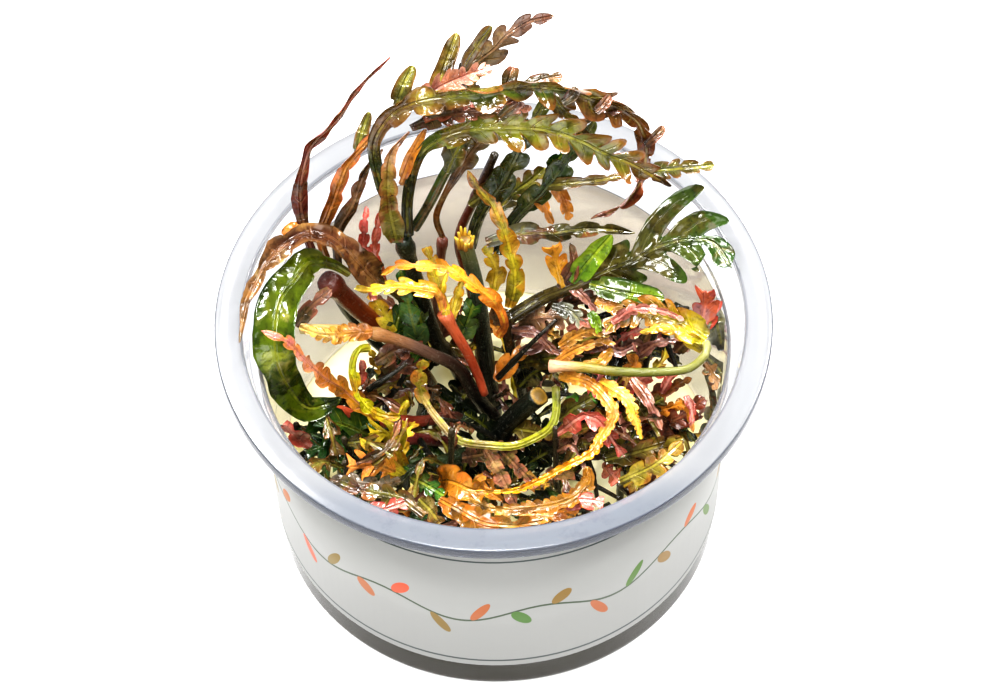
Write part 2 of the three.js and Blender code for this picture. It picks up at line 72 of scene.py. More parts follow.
# Cup
# The cup is injection-moulded clear plastic: a flat foot, a slightly tapered wall, a step inside that seats
# the lid, and a wide flange with a short skirt. It is one profile spun round its axis.
RIM_RADIUS = 50 * MM
CUP_HEIGHT = 60 * MM
LIP_RADIUS = 45.1 * MM
WALL_RADIUS_AT_FOOT = 41.07 * MM
DRAFT = math.tan(math.radians(2))
WALL = 0.8 * MM
FLOOR = 0.9 * MM
FOOT_CORNER = 3 * MM
SEAT_HEIGHT = 52 * MM
SEAT_RISE = 1.2 * MM
SEAT_RADIUS = 44.6 * MM
FLANGE = 1.6 * MM
SKIRT_DROP = 0.8 * MM
SKIRT = 0.9 * MM
CUP_EDGE = 0.35 * MM
MILKY_FROM = 14 * MM
CUP_SIDES = 128
CORNER_STEPS = 6
PLASTIC_IOR = 1.46


class Value:
    """A shader socket that Python's operators work on: each one adds a Math node."""

    def __init__(self, finish, socket):
        self.finish = finish
        self.socket = socket

    def math(self, operation, *values):
        return self.finish.node("ShaderNodeMath", {"operation": operation}, dict(enumerate(values)))

    def __add__(self, other):
        return self.math("ADD", self, other)

    def __sub__(self, other):
        return self.math("SUBTRACT", self, other)

    def __rsub__(self, other):
        return self.math("SUBTRACT", other, self)

    def __mul__(self, other):
        return self.math("MULTIPLY", self, other)

    def __truediv__(self, other):
        return self.math("DIVIDE", self, other)

    def __abs__(self):
        return self.math("ABSOLUTE", self)

    __radd__ = __add__

    def floor(self):
        return self.math("FLOOR", self)

    def fraction(self):
        return self.math("FRACT", self)

    def sine(self):
        return self.math("SINE", self)

    def ramp(self, low, high):
        """0 below low, 1 above high, smooth between; low may be above high."""
        settings = {"interpolation_type": "SMOOTHSTEP"}
        if low < high:
            return self.finish.node("ShaderNodeMapRange", settings, {0: self, 1: low, 2: high})
        return 1 - self.finish.node("ShaderNodeMapRange", settings, {0: self, 1: high, 2: low})


class Finish:
    """A material whose nodes are made by one method."""

    def __init__(self, name):
        self.material = bpy.data.materials.new(name)
        self.material.use_nodes = True
        self.tree = self.material.node_tree
        self.tree.nodes.clear()

    def node(self, kind, settings=None, inputs=None, output=0):
        made = self.tree.nodes.new(kind)
        for key, value in (settings or {}).items():
            setattr(made, key, value)
        for key, value in (inputs or {}).items():
            if isinstance(value, Value):
                self.tree.links.new(value.socket, made.inputs[key])
            else:
                made.inputs[key].default_value = value
        return Value(self, made.outputs[output]) if made.outputs else None

    def place(self):
        return self.node("ShaderNodeTexCoord", output="Object")

    def split(self, vector):
        made = self.node("ShaderNodeSeparateXYZ", None, {0: vector})
        return [Value(self, output) for output in made.socket.node.outputs]

    def noise(self, vector, scale, detail=3.0, roughness=0.55):
        return self.node("ShaderNodeTexNoise", None,
                         {"Vector": vector, "Scale": scale, "Detail": detail, "Roughness": roughness})

    def mix(self, first, second, amount):
        return self.node("ShaderNodeMix", {"data_type": "RGBA"}, {0: amount, 6: first, 7: second}, output=2)

    def attribute(self, name, output):
        return self.node("ShaderNodeAttribute", {"attribute_name": name}, None, output)

    def bump(self, height, distance, strength=1.0):
        inputs = {"Height": height, "Distance": distance, "Strength": strength}
        return self.node("ShaderNodeBump", None, inputs)

    def surface(self, **inputs):
        named = {key.replace("_", " "): value for key, value in inputs.items()}
        shader = self.node("ShaderNodeBsdfPrincipled", None, named)
        self.node("ShaderNodeOutputMaterial", None, {"Surface": shader})
        return self.material


def colour(code):
    """A six-digit screen colour as the linear colour that shaders take."""
    parts = [int(code[i:i + 2], 16) / 255 for i in (0, 2, 4)]
    return (*[c / 12.92 if c <= 0.04045 else ((c + 0.055) / 1.055) ** 2.4 for c in parts], 1.0)


def keep(bm, name, material, nodes=(), subdivide=0):
    """Makes a finished bmesh a shown piece of the object."""
    mesh = bpy.data.meshes.new(name)
    bm.to_mesh(mesh)
    bm.free()
    mesh.shade_smooth()
    mesh.materials.append(material)
    piece = bpy.data.objects.new(name, mesh)
    bpy.context.collection.objects.link(piece)
    if subdivide:
        smooth = piece.modifiers.new("smooth", "SUBSURF")
        smooth.levels = subdivide
        smooth.render_levels = subdivide
    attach(piece, "root")
    if nodes:
        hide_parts(*nodes)
    return piece


def spun(profile, closed=False, rounding=0.0):
    """A profile of (radius, height) points, with rounded corners, spun round the Z axis."""
    bm = bmesh.new()
    points = [bm.verts.new((radius, 0, height)) for radius, height in profile]
    for one, two in zip(points, points[1:] + points[:1] if closed else points[1:]):
        bm.edges.new((one, two))
    if rounding:
        corners = points if closed else points[1:-1]
        bmesh.ops.bevel(bm, geom=corners, affect="VERTICES", offset=rounding, segments=3, profile=0.5,
                        material=-1)
    bmesh.ops.spin(bm, geom=bm.verts[:] + bm.edges[:], cent=(0, 0, 0), axis=(0, 0, 1), angle=math.tau,
                   steps=CUP_SIDES, use_merge=True)
    bmesh.ops.remove_doubles(bm, verts=bm.verts, dist=0.001 * MM)
    bmesh.ops.recalc_face_normals(bm, faces=bm.faces)
    return bm


def wall_outside(height):
    return WALL_RADIUS_AT_FOOT + height * DRAFT


def foot_corner(radius, bottom, corner):
    """Points of a quarter round from the flat bottom up into the wall."""
    angles = [-math.pi / 2 + math.pi / 2 * i / CORNER_STEPS for i in range(CORNER_STEPS + 1)]
    return [(radius - corner + corner * math.cos(a), bottom + corner + corner * math.sin(a)) for a in angles]


def plastic(name, tone, roughness, transmission):
    """Moulded plastic with a faint ripple."""
    finish = Finish(name)
    ripple = finish.noise(finish.place(), 60.0, 1.0)
    return finish.surface(
        Base_Color=colour(tone), Roughness=roughness, IOR=PLASTIC_IOR, Transmission_Weight=transmission,
        Normal=finish.bump(ripple, 0.2 * MM, 0.25))


flange_under = CUP_HEIGHT - FLANGE
seat_top = SEAT_HEIGHT + SEAT_RISE
cup_profile = [
    (0, 0),
    *foot_corner(wall_outside(FOOT_CORNER), 0, FOOT_CORNER),
    (wall_outside(MILKY_FROM), MILKY_FROM),
    (wall_outside(SEAT_HEIGHT), SEAT_HEIGHT),
    (SEAT_RADIUS, seat_top),
    (LIP_RADIUS + WALL, flange_under),
    (RIM_RADIUS - SKIRT, flange_under),
    (RIM_RADIUS - SKIRT, flange_under - SKIRT_DROP),
    (RIM_RADIUS, flange_under - SKIRT_DROP),
    (RIM_RADIUS, CUP_HEIGHT),
    (LIP_RADIUS, CUP_HEIGHT),
    (SEAT_RADIUS - WALL, seat_top + WALL),
    (wall_outside(SEAT_HEIGHT) - WALL, SEAT_HEIGHT + WALL),
    (wall_outside(MILKY_FROM) - WALL, MILKY_FROM),
    *foot_corner(wall_outside(FOOT_CORNER) - WALL, FLOOR, FOOT_CORNER - WALL)[::-1],
    (0, FLOOR),
]
clear_plastic = plastic("clear_plastic", "e4e6ee", 0.04, 1.0)
wall_plastic = plastic("wall_plastic", "dcdde2", 0.05, 0.86)
rim = Finish("flange_plastic")
scuffs_and_shade = rim.noise(rim.place(), 260.0, 4.0, 0.7)
rim_x, rim_y = rim.split(rim.place())[:2]
# Painted shade: the front of the flange is painted darker and bluer than its back and sides, with darker
# mottles there only.
front_shade = rim_y.ramp(-32 * MM, -42 * MM)
squared = rim_x * rim_x + rim_y * rim_y
from_axis = squared.math("SQRT", squared)
# Painted shade: thin dark lines along the flange's outer edge and along the lip.
outer_line = abs(from_axis - RIM_RADIUS).ramp(0.4 * MM, 0.15 * MM)
inner_line = abs(from_axis - LIP_RADIUS - 0.2 * MM).ramp(0.3 * MM, 0.15 * MM)
painted_edge_lines = outer_line + inner_line * 0.6
shaded_flange_tone = rim.mix(colour("969799"), colour("7e8289"), front_shade)
shaded_flange_tone = rim.mix(shaded_flange_tone, colour("4c505c"), painted_edge_lines * 0.7)
flange_plastic = rim.surface(
    Base_Color=rim.mix(shaded_flange_tone, colour("6c6e78"), scuffs_and_shade.ramp(0.5, 0.7) * 0.5 * front_shade),
    Roughness=0.14 + scuffs_and_shade.ramp(0.5, 0.8) * 0.06, IOR=PLASTIC_IOR, Specular_IOR_Level=0.35,
    Transmission_Weight=0.45)
cup = keep(spun(cup_profile, rounding=CUP_EDGE), "clear_cup", clear_plastic, ["cup"])
cup.data.materials.append(flange_plastic)
cup.data.materials.append(wall_plastic)
for facet in cup.data.polygons:
    if facet.center.z > flange_under - CUP_EDGE - SKIRT_DROP and math.hypot(*facet.center.xy) > LIP_RADIUS:
        facet.material_index = 1
    elif facet.center.z > MILKY_FROM:
        facet.material_index = 2

# Label
# One sheet of satin white paper is wrapped right round the outside of the wall. It is printed with plain
# rules and a garland of simple oval leaves, whose measures below are in millimetres of the print.
LABEL_BOTTOM = 8.9 * MM
LABEL_TOP = 48.9 * MM
LABEL_GAP = 0.12 * MM
LABEL_THICKNESS = 0.2 * MM
LABEL_RADIUS = 42.3 * MM
GARLAND_HEIGHT = 27 * MM
GARLAND_SWING = 2.2 * MM
GARLAND_WAVES = 9
LEAF_PITCH = math.tau * LABEL_RADIUS / GARLAND_WAVES / 4
OVAL_LENGTH = 3.4
OVAL_WIDTH = 1.3
OVAL_OFFSET = 2.6
OVAL_LEAN = 0.5
RULES_MIDDLE = 1.15
RULES_APART = 17.45


def label_side(offset):
    return [(wall_outside(z) + LABEL_GAP + offset, z) for z in (LABEL_BOTTOM, LABEL_TOP)]


paper = Finish("label_paper")
paper_place = paper.place()
across, depth, height = paper.split(paper_place)
round_wall = across.math("ARCTAN2", across, depth * -1) * (LABEL_RADIUS / MM)
up_wall = (height - GARLAND_HEIGHT) / MM
swing = (round_wall * (math.tau / (4 * LEAF_PITCH / MM))).sine() * (GARLAND_SWING / MM)
from_vine = up_wall - swing
cell = round_wall / (LEAF_PITCH / MM)
cell_side = (cell.floor() * 0.5).fraction() * 4 - 1
in_cell = (cell.fraction() - 0.5) * (LEAF_PITCH / MM)
leaf_up = from_vine * cell_side - OVAL_OFFSET
oval_across = (in_cell - leaf_up * OVAL_LEAN) / OVAL_WIDTH
oval_along = leaf_up / OVAL_LENGTH * 1.3
is_leaf = (oval_across * oval_across + oval_along * oval_along).ramp(1.06, 0.94)
is_vine = abs(from_vine).ramp(0.34, 0.26)
is_rule = abs(abs(up_wall - RULES_MIDDLE) - RULES_APART).ramp(0.3, 0.22)
leaf_shade = paper.mix(colour("34501c"), colour("8c3c26"), (cell.floor() * 0.34).fraction())
printed = paper.mix(colour("6e6e6c"), colour("2e3433"), is_rule)
printed = paper.mix(printed, colour("2c3626"), is_vine)
printed = paper.mix(printed, leaf_shade, is_leaf)
# The paper also glows with its print colour: painted light that evens out the shade under the flange.
label_paper = paper.surface(
    Base_Color=printed, Roughness=0.42, Specular_IOR_Level=0.4,
    Emission_Color=printed, Emission_Strength=1.25,
    Normal=paper.bump(paper.noise(paper_place, 900.0), 0.03 * MM, 0.4))
label_profile = label_side(0) + label_side(LABEL_THICKNESS)[::-1]
back = Finish("label_back")
fibres = back.noise(back.place(), 420.0, 4.0)
# The back of the label glows cream: painted light that brightens the inside of the wall.
label_back = back.surface(
    Base_Color=back.mix(colour("dcd2c2"), colour("c8bda8"), fibres), Roughness=0.6,
    Emission_Color=colour("f4e9d4"), Emission_Strength=0.6)
label = keep(spun(label_profile, closed=True), "paper_label", label_paper, ["label"])
label.data.materials.append(label_back)
for facet in label.data.polygons:
    if facet.normal.x * facet.center.x + facet.normal.y * facet.center.y < 0:
        facet.material_index = 1

# Gel
# Clear nutrient agar was poured into the foot of the cup and set there. It has a faint skin of ripples and
# climbs a little at the wall. It wets the plastic, so no air shows between them.
GEL_LEVEL = 12.5 * MM
PLASTIC_SKIN = 0.15 * MM
GEL_RINGS = 14
MENISCUS = 0.5 * MM
MENISCUS_STEEPNESS = 12
gel_corner = FOOT_CORNER - PLASTIC_SKIN
gel_radius = wall_outside(GEL_LEVEL) - PLASTIC_SKIN
gel_profile = [
    (0, PLASTIC_SKIN),
    *foot_corner(wall_outside(gel_corner) - PLASTIC_SKIN, PLASTIC_SKIN, gel_corner),
]
for i in range(GEL_RINGS, -1, -1):
    share = i / GEL_RINGS
    gel_profile.append((gel_radius * share, GEL_LEVEL - MENISCUS + MENISCUS * share ** MENISCUS_STEEPNESS))
agar = Finish("nutrient_gel")
agar_place = agar.place()
cloud = agar.noise(agar_place, 70.0, 2.0)
# Painted shade: below its surface the gel's sides and floor are painted near-black olive.
painted_side_shade = agar.split(agar_place)[2].ramp(GEL_LEVEL - 0.2 * MM, GEL_LEVEL - 2 * MM)
agar_shade = agar.mix(colour("f7f2cc"), colour("e2d79c"), cloud.ramp(0.4, 0.65))
# The gel also glows with its own colours: painted light, cream at the top and dark olive lower down.
nutrient_gel = agar.surface(
    Base_Color=agar.mix(agar_shade, colour("1e190a"), painted_side_shade), Roughness=0.12, IOR=1.34,
    Specular_IOR_Level=0.25,
    Emission_Color=agar.mix(agar_shade, colour("403610"), painted_side_shade), Emission_Strength=0.3,
    Normal=agar.bump(agar.noise(agar_place, 160.0, 2.0), 0.5 * MM, 0.5))
keep(spun(gel_profile), "agar_gel", nutrient_gel, ["gel"])

# Stems
# The stems are round to four-angled, swollen at their joints and wet. They were cut from older plants, stand
# in the gel with their lower ends, and lean on one another. Each is a cylinder bent along its route.
ROUTE_STEPS = 16
RING_SPACING = 1.3 * MM
STEM_SIDES = 14
JOINT_SWELL = 0.3
JOINT_SPREAD = 1.5 * MM
SQUARENESS = 0.05
END_ROUNDING = 0.5 * MM
CAP_INSETS = (0.22, 0.3)
CUT_FACE = 0.8
PITH = 0.6
BLACK = (0.0, 0.0, 0.0, 1)
FRONT = (0, -1, 0.15)


class Route:
    """A smooth curve through given points in millimetres, measured along its length."""

    def __init__(self, points):
        knots = [Vector(point) * MM for point in points]
        knots = [knots[0] * 2 - knots[1], *knots, knots[-1] * 2 - knots[-2]]
        self.places = [knots[1]]
        for i in range(len(knots) - 3):
            for step in range(1, ROUTE_STEPS + 1):
                self.places.append(self.between(knots[i:i + 4], step / ROUTE_STEPS))
        self.marks = [0.0]
        for one, two in zip(self.places, self.places[1:]):
            self.marks.append(self.marks[-1] + (two - one).length)
        self.length = self.marks[-1]

    @staticmethod
    def between(knots, share):
        """A point of a centripetal Catmull-Rom curve, between the middle two of four knots."""
        times = [0.0]
        for one, two in zip(knots, knots[1:]):
            times.append(times[-1] + (two - one).length ** 0.5)
        time = times[1] + (times[2] - times[1]) * share
        row = knots
        for spans in (((0, 1), (1, 2), (2, 3)), ((0, 2), (1, 3)), ((1, 2),)):
            row = [row[i].lerp(row[i + 1], (time - times[a]) / (times[b] - times[a]))
                   for i, (a, b) in enumerate(spans)]
        return row[0]

    def at(self, distance):
        """The place and the direction at a distance along the curve, which runs on past its ends."""
        inside = min(max(distance, 0.0), self.length)
        i = min(bisect_right(self.marks, inside), len(self.marks) - 1)
        one, two = self.places[i - 1], self.places[i]
        share = (inside - self.marks[i - 1]) / (self.marks[i] - self.marks[i - 1])
        before = self.places[max(i - 2, 0)]
        after = self.places[min(i + 1, len(self.places) - 1)]
        start = (two - before).normalized()
        end = (after - one).normalized()
        heading = start.lerp(end, share).normalized()
        return one.lerp(two, share) + heading * (distance - inside), heading

    def bend(self, vert, side, along, up, face, turn=0.0):
        """Puts a vertex beside and above the curve, whose upper side looks to face and turns on the way."""
        place, heading = self.at(along)
        look = Vector(face).normalized()
        normal = (look - heading * look.dot(heading)).normalized()
        normal.rotate(Matrix.Rotation(turn * along / self.length, 3, heading))
        vert.co = place + heading.cross(normal) * side + normal * up


def layer(layers, name):
    """A named layer of values at the vertices, new if there is none yet."""
    return layers.get(name) or layers.new(name)


def tint_at(tints, share):
    """The colour at a share of the way through a row of evenly spaced colours."""
    codes = tints.split()
    place = min(max(share, 0.0), 1.0) * (len(codes) - 1)
    i = min(int(place), len(codes) - 2)
    one, two = (Vector(colour(code)) for code in codes[i:i + 2])
    return one.lerp(two, place - i)


def add_stem(bm, route, start, end, tints, joints=(), sides=STEM_SIDES, cut=None):
    """Adds a stem to a bmesh. Its end diameters are in millimetres, its joints are shares of its length."""
    path = Route(route)
    skin = layer(bm.verts.layers.float_vector, "skin")
    tint = layer(bm.verts.layers.float_color, "tint")
    before = len(bm.verts)
    bmesh.ops.create_cone(bm, cap_ends=True, segments=sides, radius1=1, radius2=1, depth=1)
    lengthwise = dict.fromkeys(e for v in bm.verts[before:] for e in v.link_edges
                               if abs(e.verts[0].co.z - e.verts[1].co.z) > 0.5)
    rings = max(4, round(path.length / RING_SPACING))
    bmesh.ops.subdivide_edges(bm, edges=list(lengthwise), cuts=rings - 1)
    fresh = set(bm.verts[before:])
    caps = [f for f in bm.faces if len(f.verts) == sides and f.verts[0] in fresh]
    for inset in CAP_INSETS:
        bmesh.ops.inset_individual(bm, faces=caps, thickness=inset)
    for vert in bm.verts[before:]:
        x, y, z = vert.co
        share = z + 0.5
        along = share * path.length
        angle = math.atan2(y, x)
        spread = math.hypot(x, y)
        swell = 1 + SQUARENESS * math.cos(4 * angle)
        for joint in joints:
            swell += JOINT_SWELL * math.exp(-((along - joint * path.length) / JOINT_SPREAD) ** 2)
        radius = (start + (end - start) * share) / 2 * MM * swell
        if share in (0.0, 1.0):
            along += (1 - spread) * END_ROUNDING * (1 if share else -1)
        vert[skin] = (math.cos(angle) * radius / MM, math.sin(angle) * radius / MM, along / MM)
        vert[tint] = tint_at(tints, share)
        if cut and share in (0.0, 1.0) and spread < CUT_FACE:
            vert[tint] = Vector(colour(cut)) * (0.5 if spread < PITH else 1.0)
        path.bend(vert, x * radius, along, y * radius, FRONT)
    return path


def stand(name, start, end, route, tints, joints=(), cut=None):
    """Makes a stem, in place of the solid of the same name."""
    bm = bmesh.new()
    add_stem(bm, route, start, end, tints, joints, cut=cut)
    keep(bm, "shown_" + name, stem_skin, [name])


skin_finish = Finish("stem_skin")
skin_place = skin_finish.attribute("skin", "Vector")
streak_place = skin_finish.node(
    "ShaderNodeVectorMath", {"operation": "MULTIPLY"}, {0: skin_place, 1: (3, 3, 0.35)})
streaks = skin_finish.noise(streak_place, 1.6, 4.0)
speckles = skin_finish.noise(skin_finish.place(), 1500.0, 2.0).ramp(0.6, 0.68)
stem_tint = skin_finish.attribute("tint", "Color")
stem_base = skin_finish.mix(stem_tint, (0.42, 0.40, 0.30, 1), streaks.ramp(0.56, 0.8) * 0.1)
stem_base = skin_finish.mix(stem_base, (0.5, 0.47, 0.36, 1), speckles * 0.1)
stem_base = skin_finish.mix(stem_base, BLACK, streaks.ramp(0.5, 0.25) * 0.45)
stem_skin = skin_finish.surface(
    Base_Color=stem_base, Roughness=0.1 + streaks * 0.2, Coat_Weight=0.15, Coat_Roughness=0.04,
    Normal=skin_finish.bump(streaks, 0.35 * MM, 0.45))

stand("stem_cut_centre", 3.4, 2.7,
      [(0, 12, 4), (-1, 13, 20), (-2, 14, 35), (-3, 15, 49), (-5, 16, 62)],
      "060706 080a08 0c0f0c 121811 1e281e 38463a 4c5a48 6a6a3c", cut="a8802c")
stand("stem_crown", 2.8, 2.9,
      [(-4, 17, 4), (-7, 16, 22), (-11, 14, 35), (-13, 15, 45), (-15, 16, 56), (-16, 16, 63)],
      "070907 0a0c09 0e120c 151b12 232d1a", joints=(0.95,))
stand("stem_arching", 3, 2.0,
      [(1, 5, 4), (0, 6, 18), (-4, 6, 28), (-7, 7, 35), (-12, 6, 41), (-17, 6, 45), (-23, 6, 48),
       (-35, 5, 51)], "060706 080908 0a0b0a 100f0c 241d18 503d33 6e5344 94683e c09a58 d8c488",
      joints=(0.78,))
stand("stem_thick_cut", 3.8, 3.9,
      [(-2, -1, 4), (-1, 0, 12), (1, 1, 22), (4, 1, 28), (8, 0, 35)], "060706 080908 0a0d0a 0e130e 1c241a",
      cut="9c7a30")
stand("stem_green_front", 2.6, 2.9,
      [(-3, -6, 4), (-3, -4, 13), (-4, -3, 21), (-10, -8, 26), (-16, -12, 30)],
      "10130e 161c12 1f2a18 2e3c20", joints=(0.95,))
stand("stem_mauve_low", 2.4, 2.5,
      [(6, 6, 4), (6, 5, 12), (9, 2, 17), (15, -3, 22), (19, -7, 26)], "1c1614 241c1a 3c2e2a 4c3a34",
      joints=(0.93,))
stand("stem_red_low", 2.2, 2.4,
      [(-6, 11, 4), (-6, 10, 13), (-9, 7, 19), (-14, 4, 22), (-20, 2, 25), (-26, 2, 27), (-32, 3, 30)],
      "2c1a18 4a2e28 6a4438 7c4030 b04a30 d86040 e87850", joints=(0.62,))
stand("stem_red_brown", 2.8, 3.8,
      [(-10, 19, 4), (-14, 14, 24), (-20, 13, 38), (-25, 13, 46), (-30, 12, 56)],
      "2a140a 4c200e 6e3010 7a3614 84401c 5a2414", joints=(0.97,))
stand("stem_dark_left", 1.8, 2,
      [(-15, 24, 4), (-18, 21, 18), (-22, 19, 26), (-27, 18, 38), (-29, 17, 46)], "0e120e 1a2218 26301f")
stand("stem_back", 2.2, 1.5,
      [(-2, 23, 4), (-4, 24, 36), (-6, 24, 52), (-3, 25, 62), (1, 26, 74)],
      "2a1810 5a2a18 7e3418 7e3418 5a2814 2c2414", joints=(0.84,))
stand("stem_brown_thin", 1.6, 1.7, [(-9, 27, 4), (-11, 23, 34), (-10, 22, 43), (-9, 23, 53)],
      "3a2a1e 7a5a46 8a5a46 6c3a2a", joints=(0.98,))
stand("stem_right_inner", 2.2, 2, [(6, 12, 4), (5, 12, 20), (3, 11, 35), (2, 11, 46)],
      "0e0f0e 151613 26221a 5a4426", joints=(0.97,))
stand("stem_maroon", 2.2, 2.4, [(-7, 3, 4), (-8, 3, 15), (-12, 1, 20), (-18, -1, 24)],
      "2a1614 46221e 6a2c28", joints=(0.95,))
stand("stem_salmon", 1.5, 2.2,
      [(-2, 5, 29), (-3, 6, 33), (-5, 6, 41), (-7, 6, 47), (-9, 7, 52)], "bc5636 b84e30 c05a38 b86440",
      joints=(0.96,))
stand("stem_pale", 2.0, 1.5,
      [(10, -4, 50), (15, -5, 51), (22, -7, 52), (30, -8, 53), (35, -8, 54), (38, -6, 56), (38, -4, 56)],
      "d8a488 8c7c30 5c5c14 5e6018 6c6c28 949058", joints=(0.0,), cut="e8c0a0")

# Torn fibres
# The cut stem in the middle is ragged at its end, where a crown of its own yellow fibres stands up. Each is
# a short thin cone, bent a little.
FIBRE_COUNT = 13
FIBRE_RING = 1.2
CUT_X = -4.9
CUT_Y = 16
CUT_Z = 60.4
torn = bmesh.new()
for i in range(FIBRE_COUNT):
    angle = math.tau * i / FIBRE_COUNT
    spread = FIBRE_RING - 0.3 * (i % 2)
    foot = Vector((CUT_X + spread * math.cos(angle), CUT_Y + spread * math.sin(angle), CUT_Z))
    tip = foot + Vector((0.5 * math.cos(angle), 0.5 * math.sin(angle), 2.5 + 0.8 * math.sin(5 * i)))
    bulge = (foot + tip) / 2 + Vector((0, 0, 0.3))
    add_stem(torn, [foot, bulge, tip], 1.3, 0.6, "5c4a30 a8702c c89830 dcc04c", sides=6)
keep(torn, "torn_fibres", stem_skin, subdivide=1)

# Long arching leaves
# A leaf of this plant is cut into lobes nearly to its rib, like a fern's. The longest ones rise from the
# crown's joint and arch to the right over the rim. Each is a sheet bent along its route, with a round stalk
# and rib.
SKY = (0, -0.3, 1)
HALF = (0, -0.6, 0.8)
LEFT = (-1, -0.4, 0.2)
RIGHT = (1, -0.4, 0.2)
BLADE_COLUMNS = 10
LOBE_ROWS = 7
STALK_ROW = 1.6 * MM
BLADE_THICKNESS = 0.34 * MM
RIB_END = 0.16 * MM
MARGIN = 0.13 * MM
WALL_CLEARANCE = 0.5 * MM
LIP_ROOM = 2.2 * MM
RIPPLE_LENGTH = 1.1 * MM
CRUMPLE_SCALE = 300
CRUMPLE_SEED = 4
noise.seed_set(CRUMPLE_SEED)


def add_leaf(bm, route, tints, edge, fleck, seed, width=4.0, lobes=4, stalk=0.15, stalk_width=1.3,
             face=HALF, turn=0.0, crease=0.2, wave=0.8, lean=0.7, taper=0.3, rib=0.24, roundness=2.2,
             fill=0.86, crumple=0.5, left=None, right=None, curl=0.0, lobe_rows=LOBE_ROWS,
             columns=BLADE_COLUMNS):
    """Adds a lobed leaf to a bmesh. Widths are in millimetres, and so are the lobes in left and right."""
    path = Route(route)
    dice = random.Random(seed)
    blade = layer(bm.verts.layers.float_vector, "blade")
    tint = layer(bm.verts.layers.float_color, "tint")
    patch = layer(bm.verts.layers.float_color, "patch")
    lobes = len(left) if left else lobes
    if not left:
        swell = [1 - (i / lobes - 0.4) ** 2 - taper * i / lobes for i in range(lobes)]
        left, right = [[width / 2 * (1 - rib) * s * dice.uniform(0.7, 1.15) for s in swell] for _ in (0, 1)]
    pitches = [dice.uniform(0.75, 1.25) for _ in range(lobes)]
    lifts = [[dice.uniform(-1, 1) * wave * MM for _ in range(lobes)] for _ in (0, 1)]
    leans = [[lean + dice.uniform(-0.2, 0.2) for _ in range(lobes)] for _ in (0, 1)]
    stalk_rows = max(2, round(path.length * stalk / STALK_ROW))
    rows = [(stalk * i / stalk_rows, -1, 0.0) for i in range(stalk_rows)]
    for i in range(lobes):
        for k in range(lobe_rows + 1):
            across = 0.5 - 0.5 * math.cos(math.pi * k / lobe_rows)
            share = (sum(pitches[:i]) + pitches[i] * ((1 - fill) / 2 + fill * across)) / sum(pitches)
            rows.append((stalk + (1 - stalk) * share, i, across))
    rows.append((1.0, lobes - 1, 1.0))
    made = bmesh.ops.create_grid(bm, x_segments=columns, y_segments=len(rows) - 1, size=1)
    spot = {v: (v.co.x, round((v.co.y + 1) / 2 * (len(rows) - 1))) for v in made["verts"]}
    faces = list(dict.fromkeys(f for v in made["verts"] for f in v.link_faces))
    bmesh.ops.reverse_faces(bm, faces=faces)
    raised = bmesh.ops.extrude_face_region(bm, geom=faces, use_keep_orig=True)
    tops = [v for v in raised["geom"] if isinstance(v, bmesh.types.BMVert)]
    for vert in tops:
        spot[vert] = (vert.co.x, round((vert.co.y + 1) / 2 * (len(rows) - 1)))
    bmesh.ops.reverse_faces(bm, faces=[f for f in raised["geom"] if isinstance(f, bmesh.types.BMFace)])
    tops = set(tops)
    ripple_phase = dice.uniform(0, math.tau)
    stalk_half = stalk_width / 2 * MM
    for vert, (x, row) in spot.items():
        along, lobe, across = rows[row]
        share = max(0.0, (along - stalk) / (1 - stalk))
        spread = math.copysign(abs(x) ** 1.4, x)
        hand = 0 if spread < 0 else 1
        half = width / 2 * rib * (1.15 - share) * min(1.0, (1 - share) * 8) * MM
        reach = 0.0
        lift = 0.0
        if lobe < 0:
            half = stalk_half + (half - stalk_half) * max(0.0, 1 - (stalk_rows - row) / 3)
        else:
            reach = (1 - abs(2 * across ** 0.8 - 1) ** roundness) ** (1 / roundness)
            lift = lifts[hand][lobe] * reach
            half += (left, right)[hand][lobe] * reach * MM
        half += MARGIN
        offset = spread * half
        rib_radius = max(RIB_END, stalk_half * (1 - share) ** 0.8)
        dome = math.sqrt(max(0.0, 1 - (offset / rib_radius) ** 2)) * rib_radius
        thick = max(BLADE_THICKNESS / 2 * (1.25 - 0.7 * abs(spread)), dome)
        ripple = math.sin(along * path.length / RIPPLE_LENGTH + ripple_phase + 2 * hand) * 0.16 * wave * MM
        up = thick if vert in tops else -thick
        up += abs(offset) * crease + (lift + ripple) * spread ** 2 - curl * (offset / MM) ** 2 * MM
        vert[blade] = (offset / MM, lobe + 1 + across, abs(spread))
        edge_share = max(0.0, abs(spread) - 0.5) / 0.5 * min(1.0, share * 6)
        vert[tint] = tint_at(tints, along).lerp(Vector(colour(edge)), 0.8 * edge_share)
        vert[patch] = colour(fleck)
        slope = leans[hand][max(lobe, 0)] * min(1.0, share * 8, (1 - share) * 6)
        path.bend(vert, offset, along * path.length + abs(offset) * slope, up, face, turn)
        shake = noise.noise_vector(vert.co * CRUMPLE_SCALE)
        vert.co += shake * (crumple * MM * min(1.0, abs(offset) / MM) * min(1.0, share * 8))
        press_inside(vert)


def press_inside(vert):
    """Keeps a vertex that is lower than the rim inside the cup's wall."""
    limit = wall_outside(min(vert.co.z, SEAT_HEIGHT)) - WALL - WALL_CLEARANCE
    limit += min(max(vert.co.z - seat_top - WALL, 0.0) / 2, LIP_ROOM)
    radius = math.hypot(vert.co.x, vert.co.y)
    if vert.co.z < CUP_HEIGHT - 0.5 * MM and limit < radius:
        vert.co.x *= limit / radius
        vert.co.y *= limit / radius


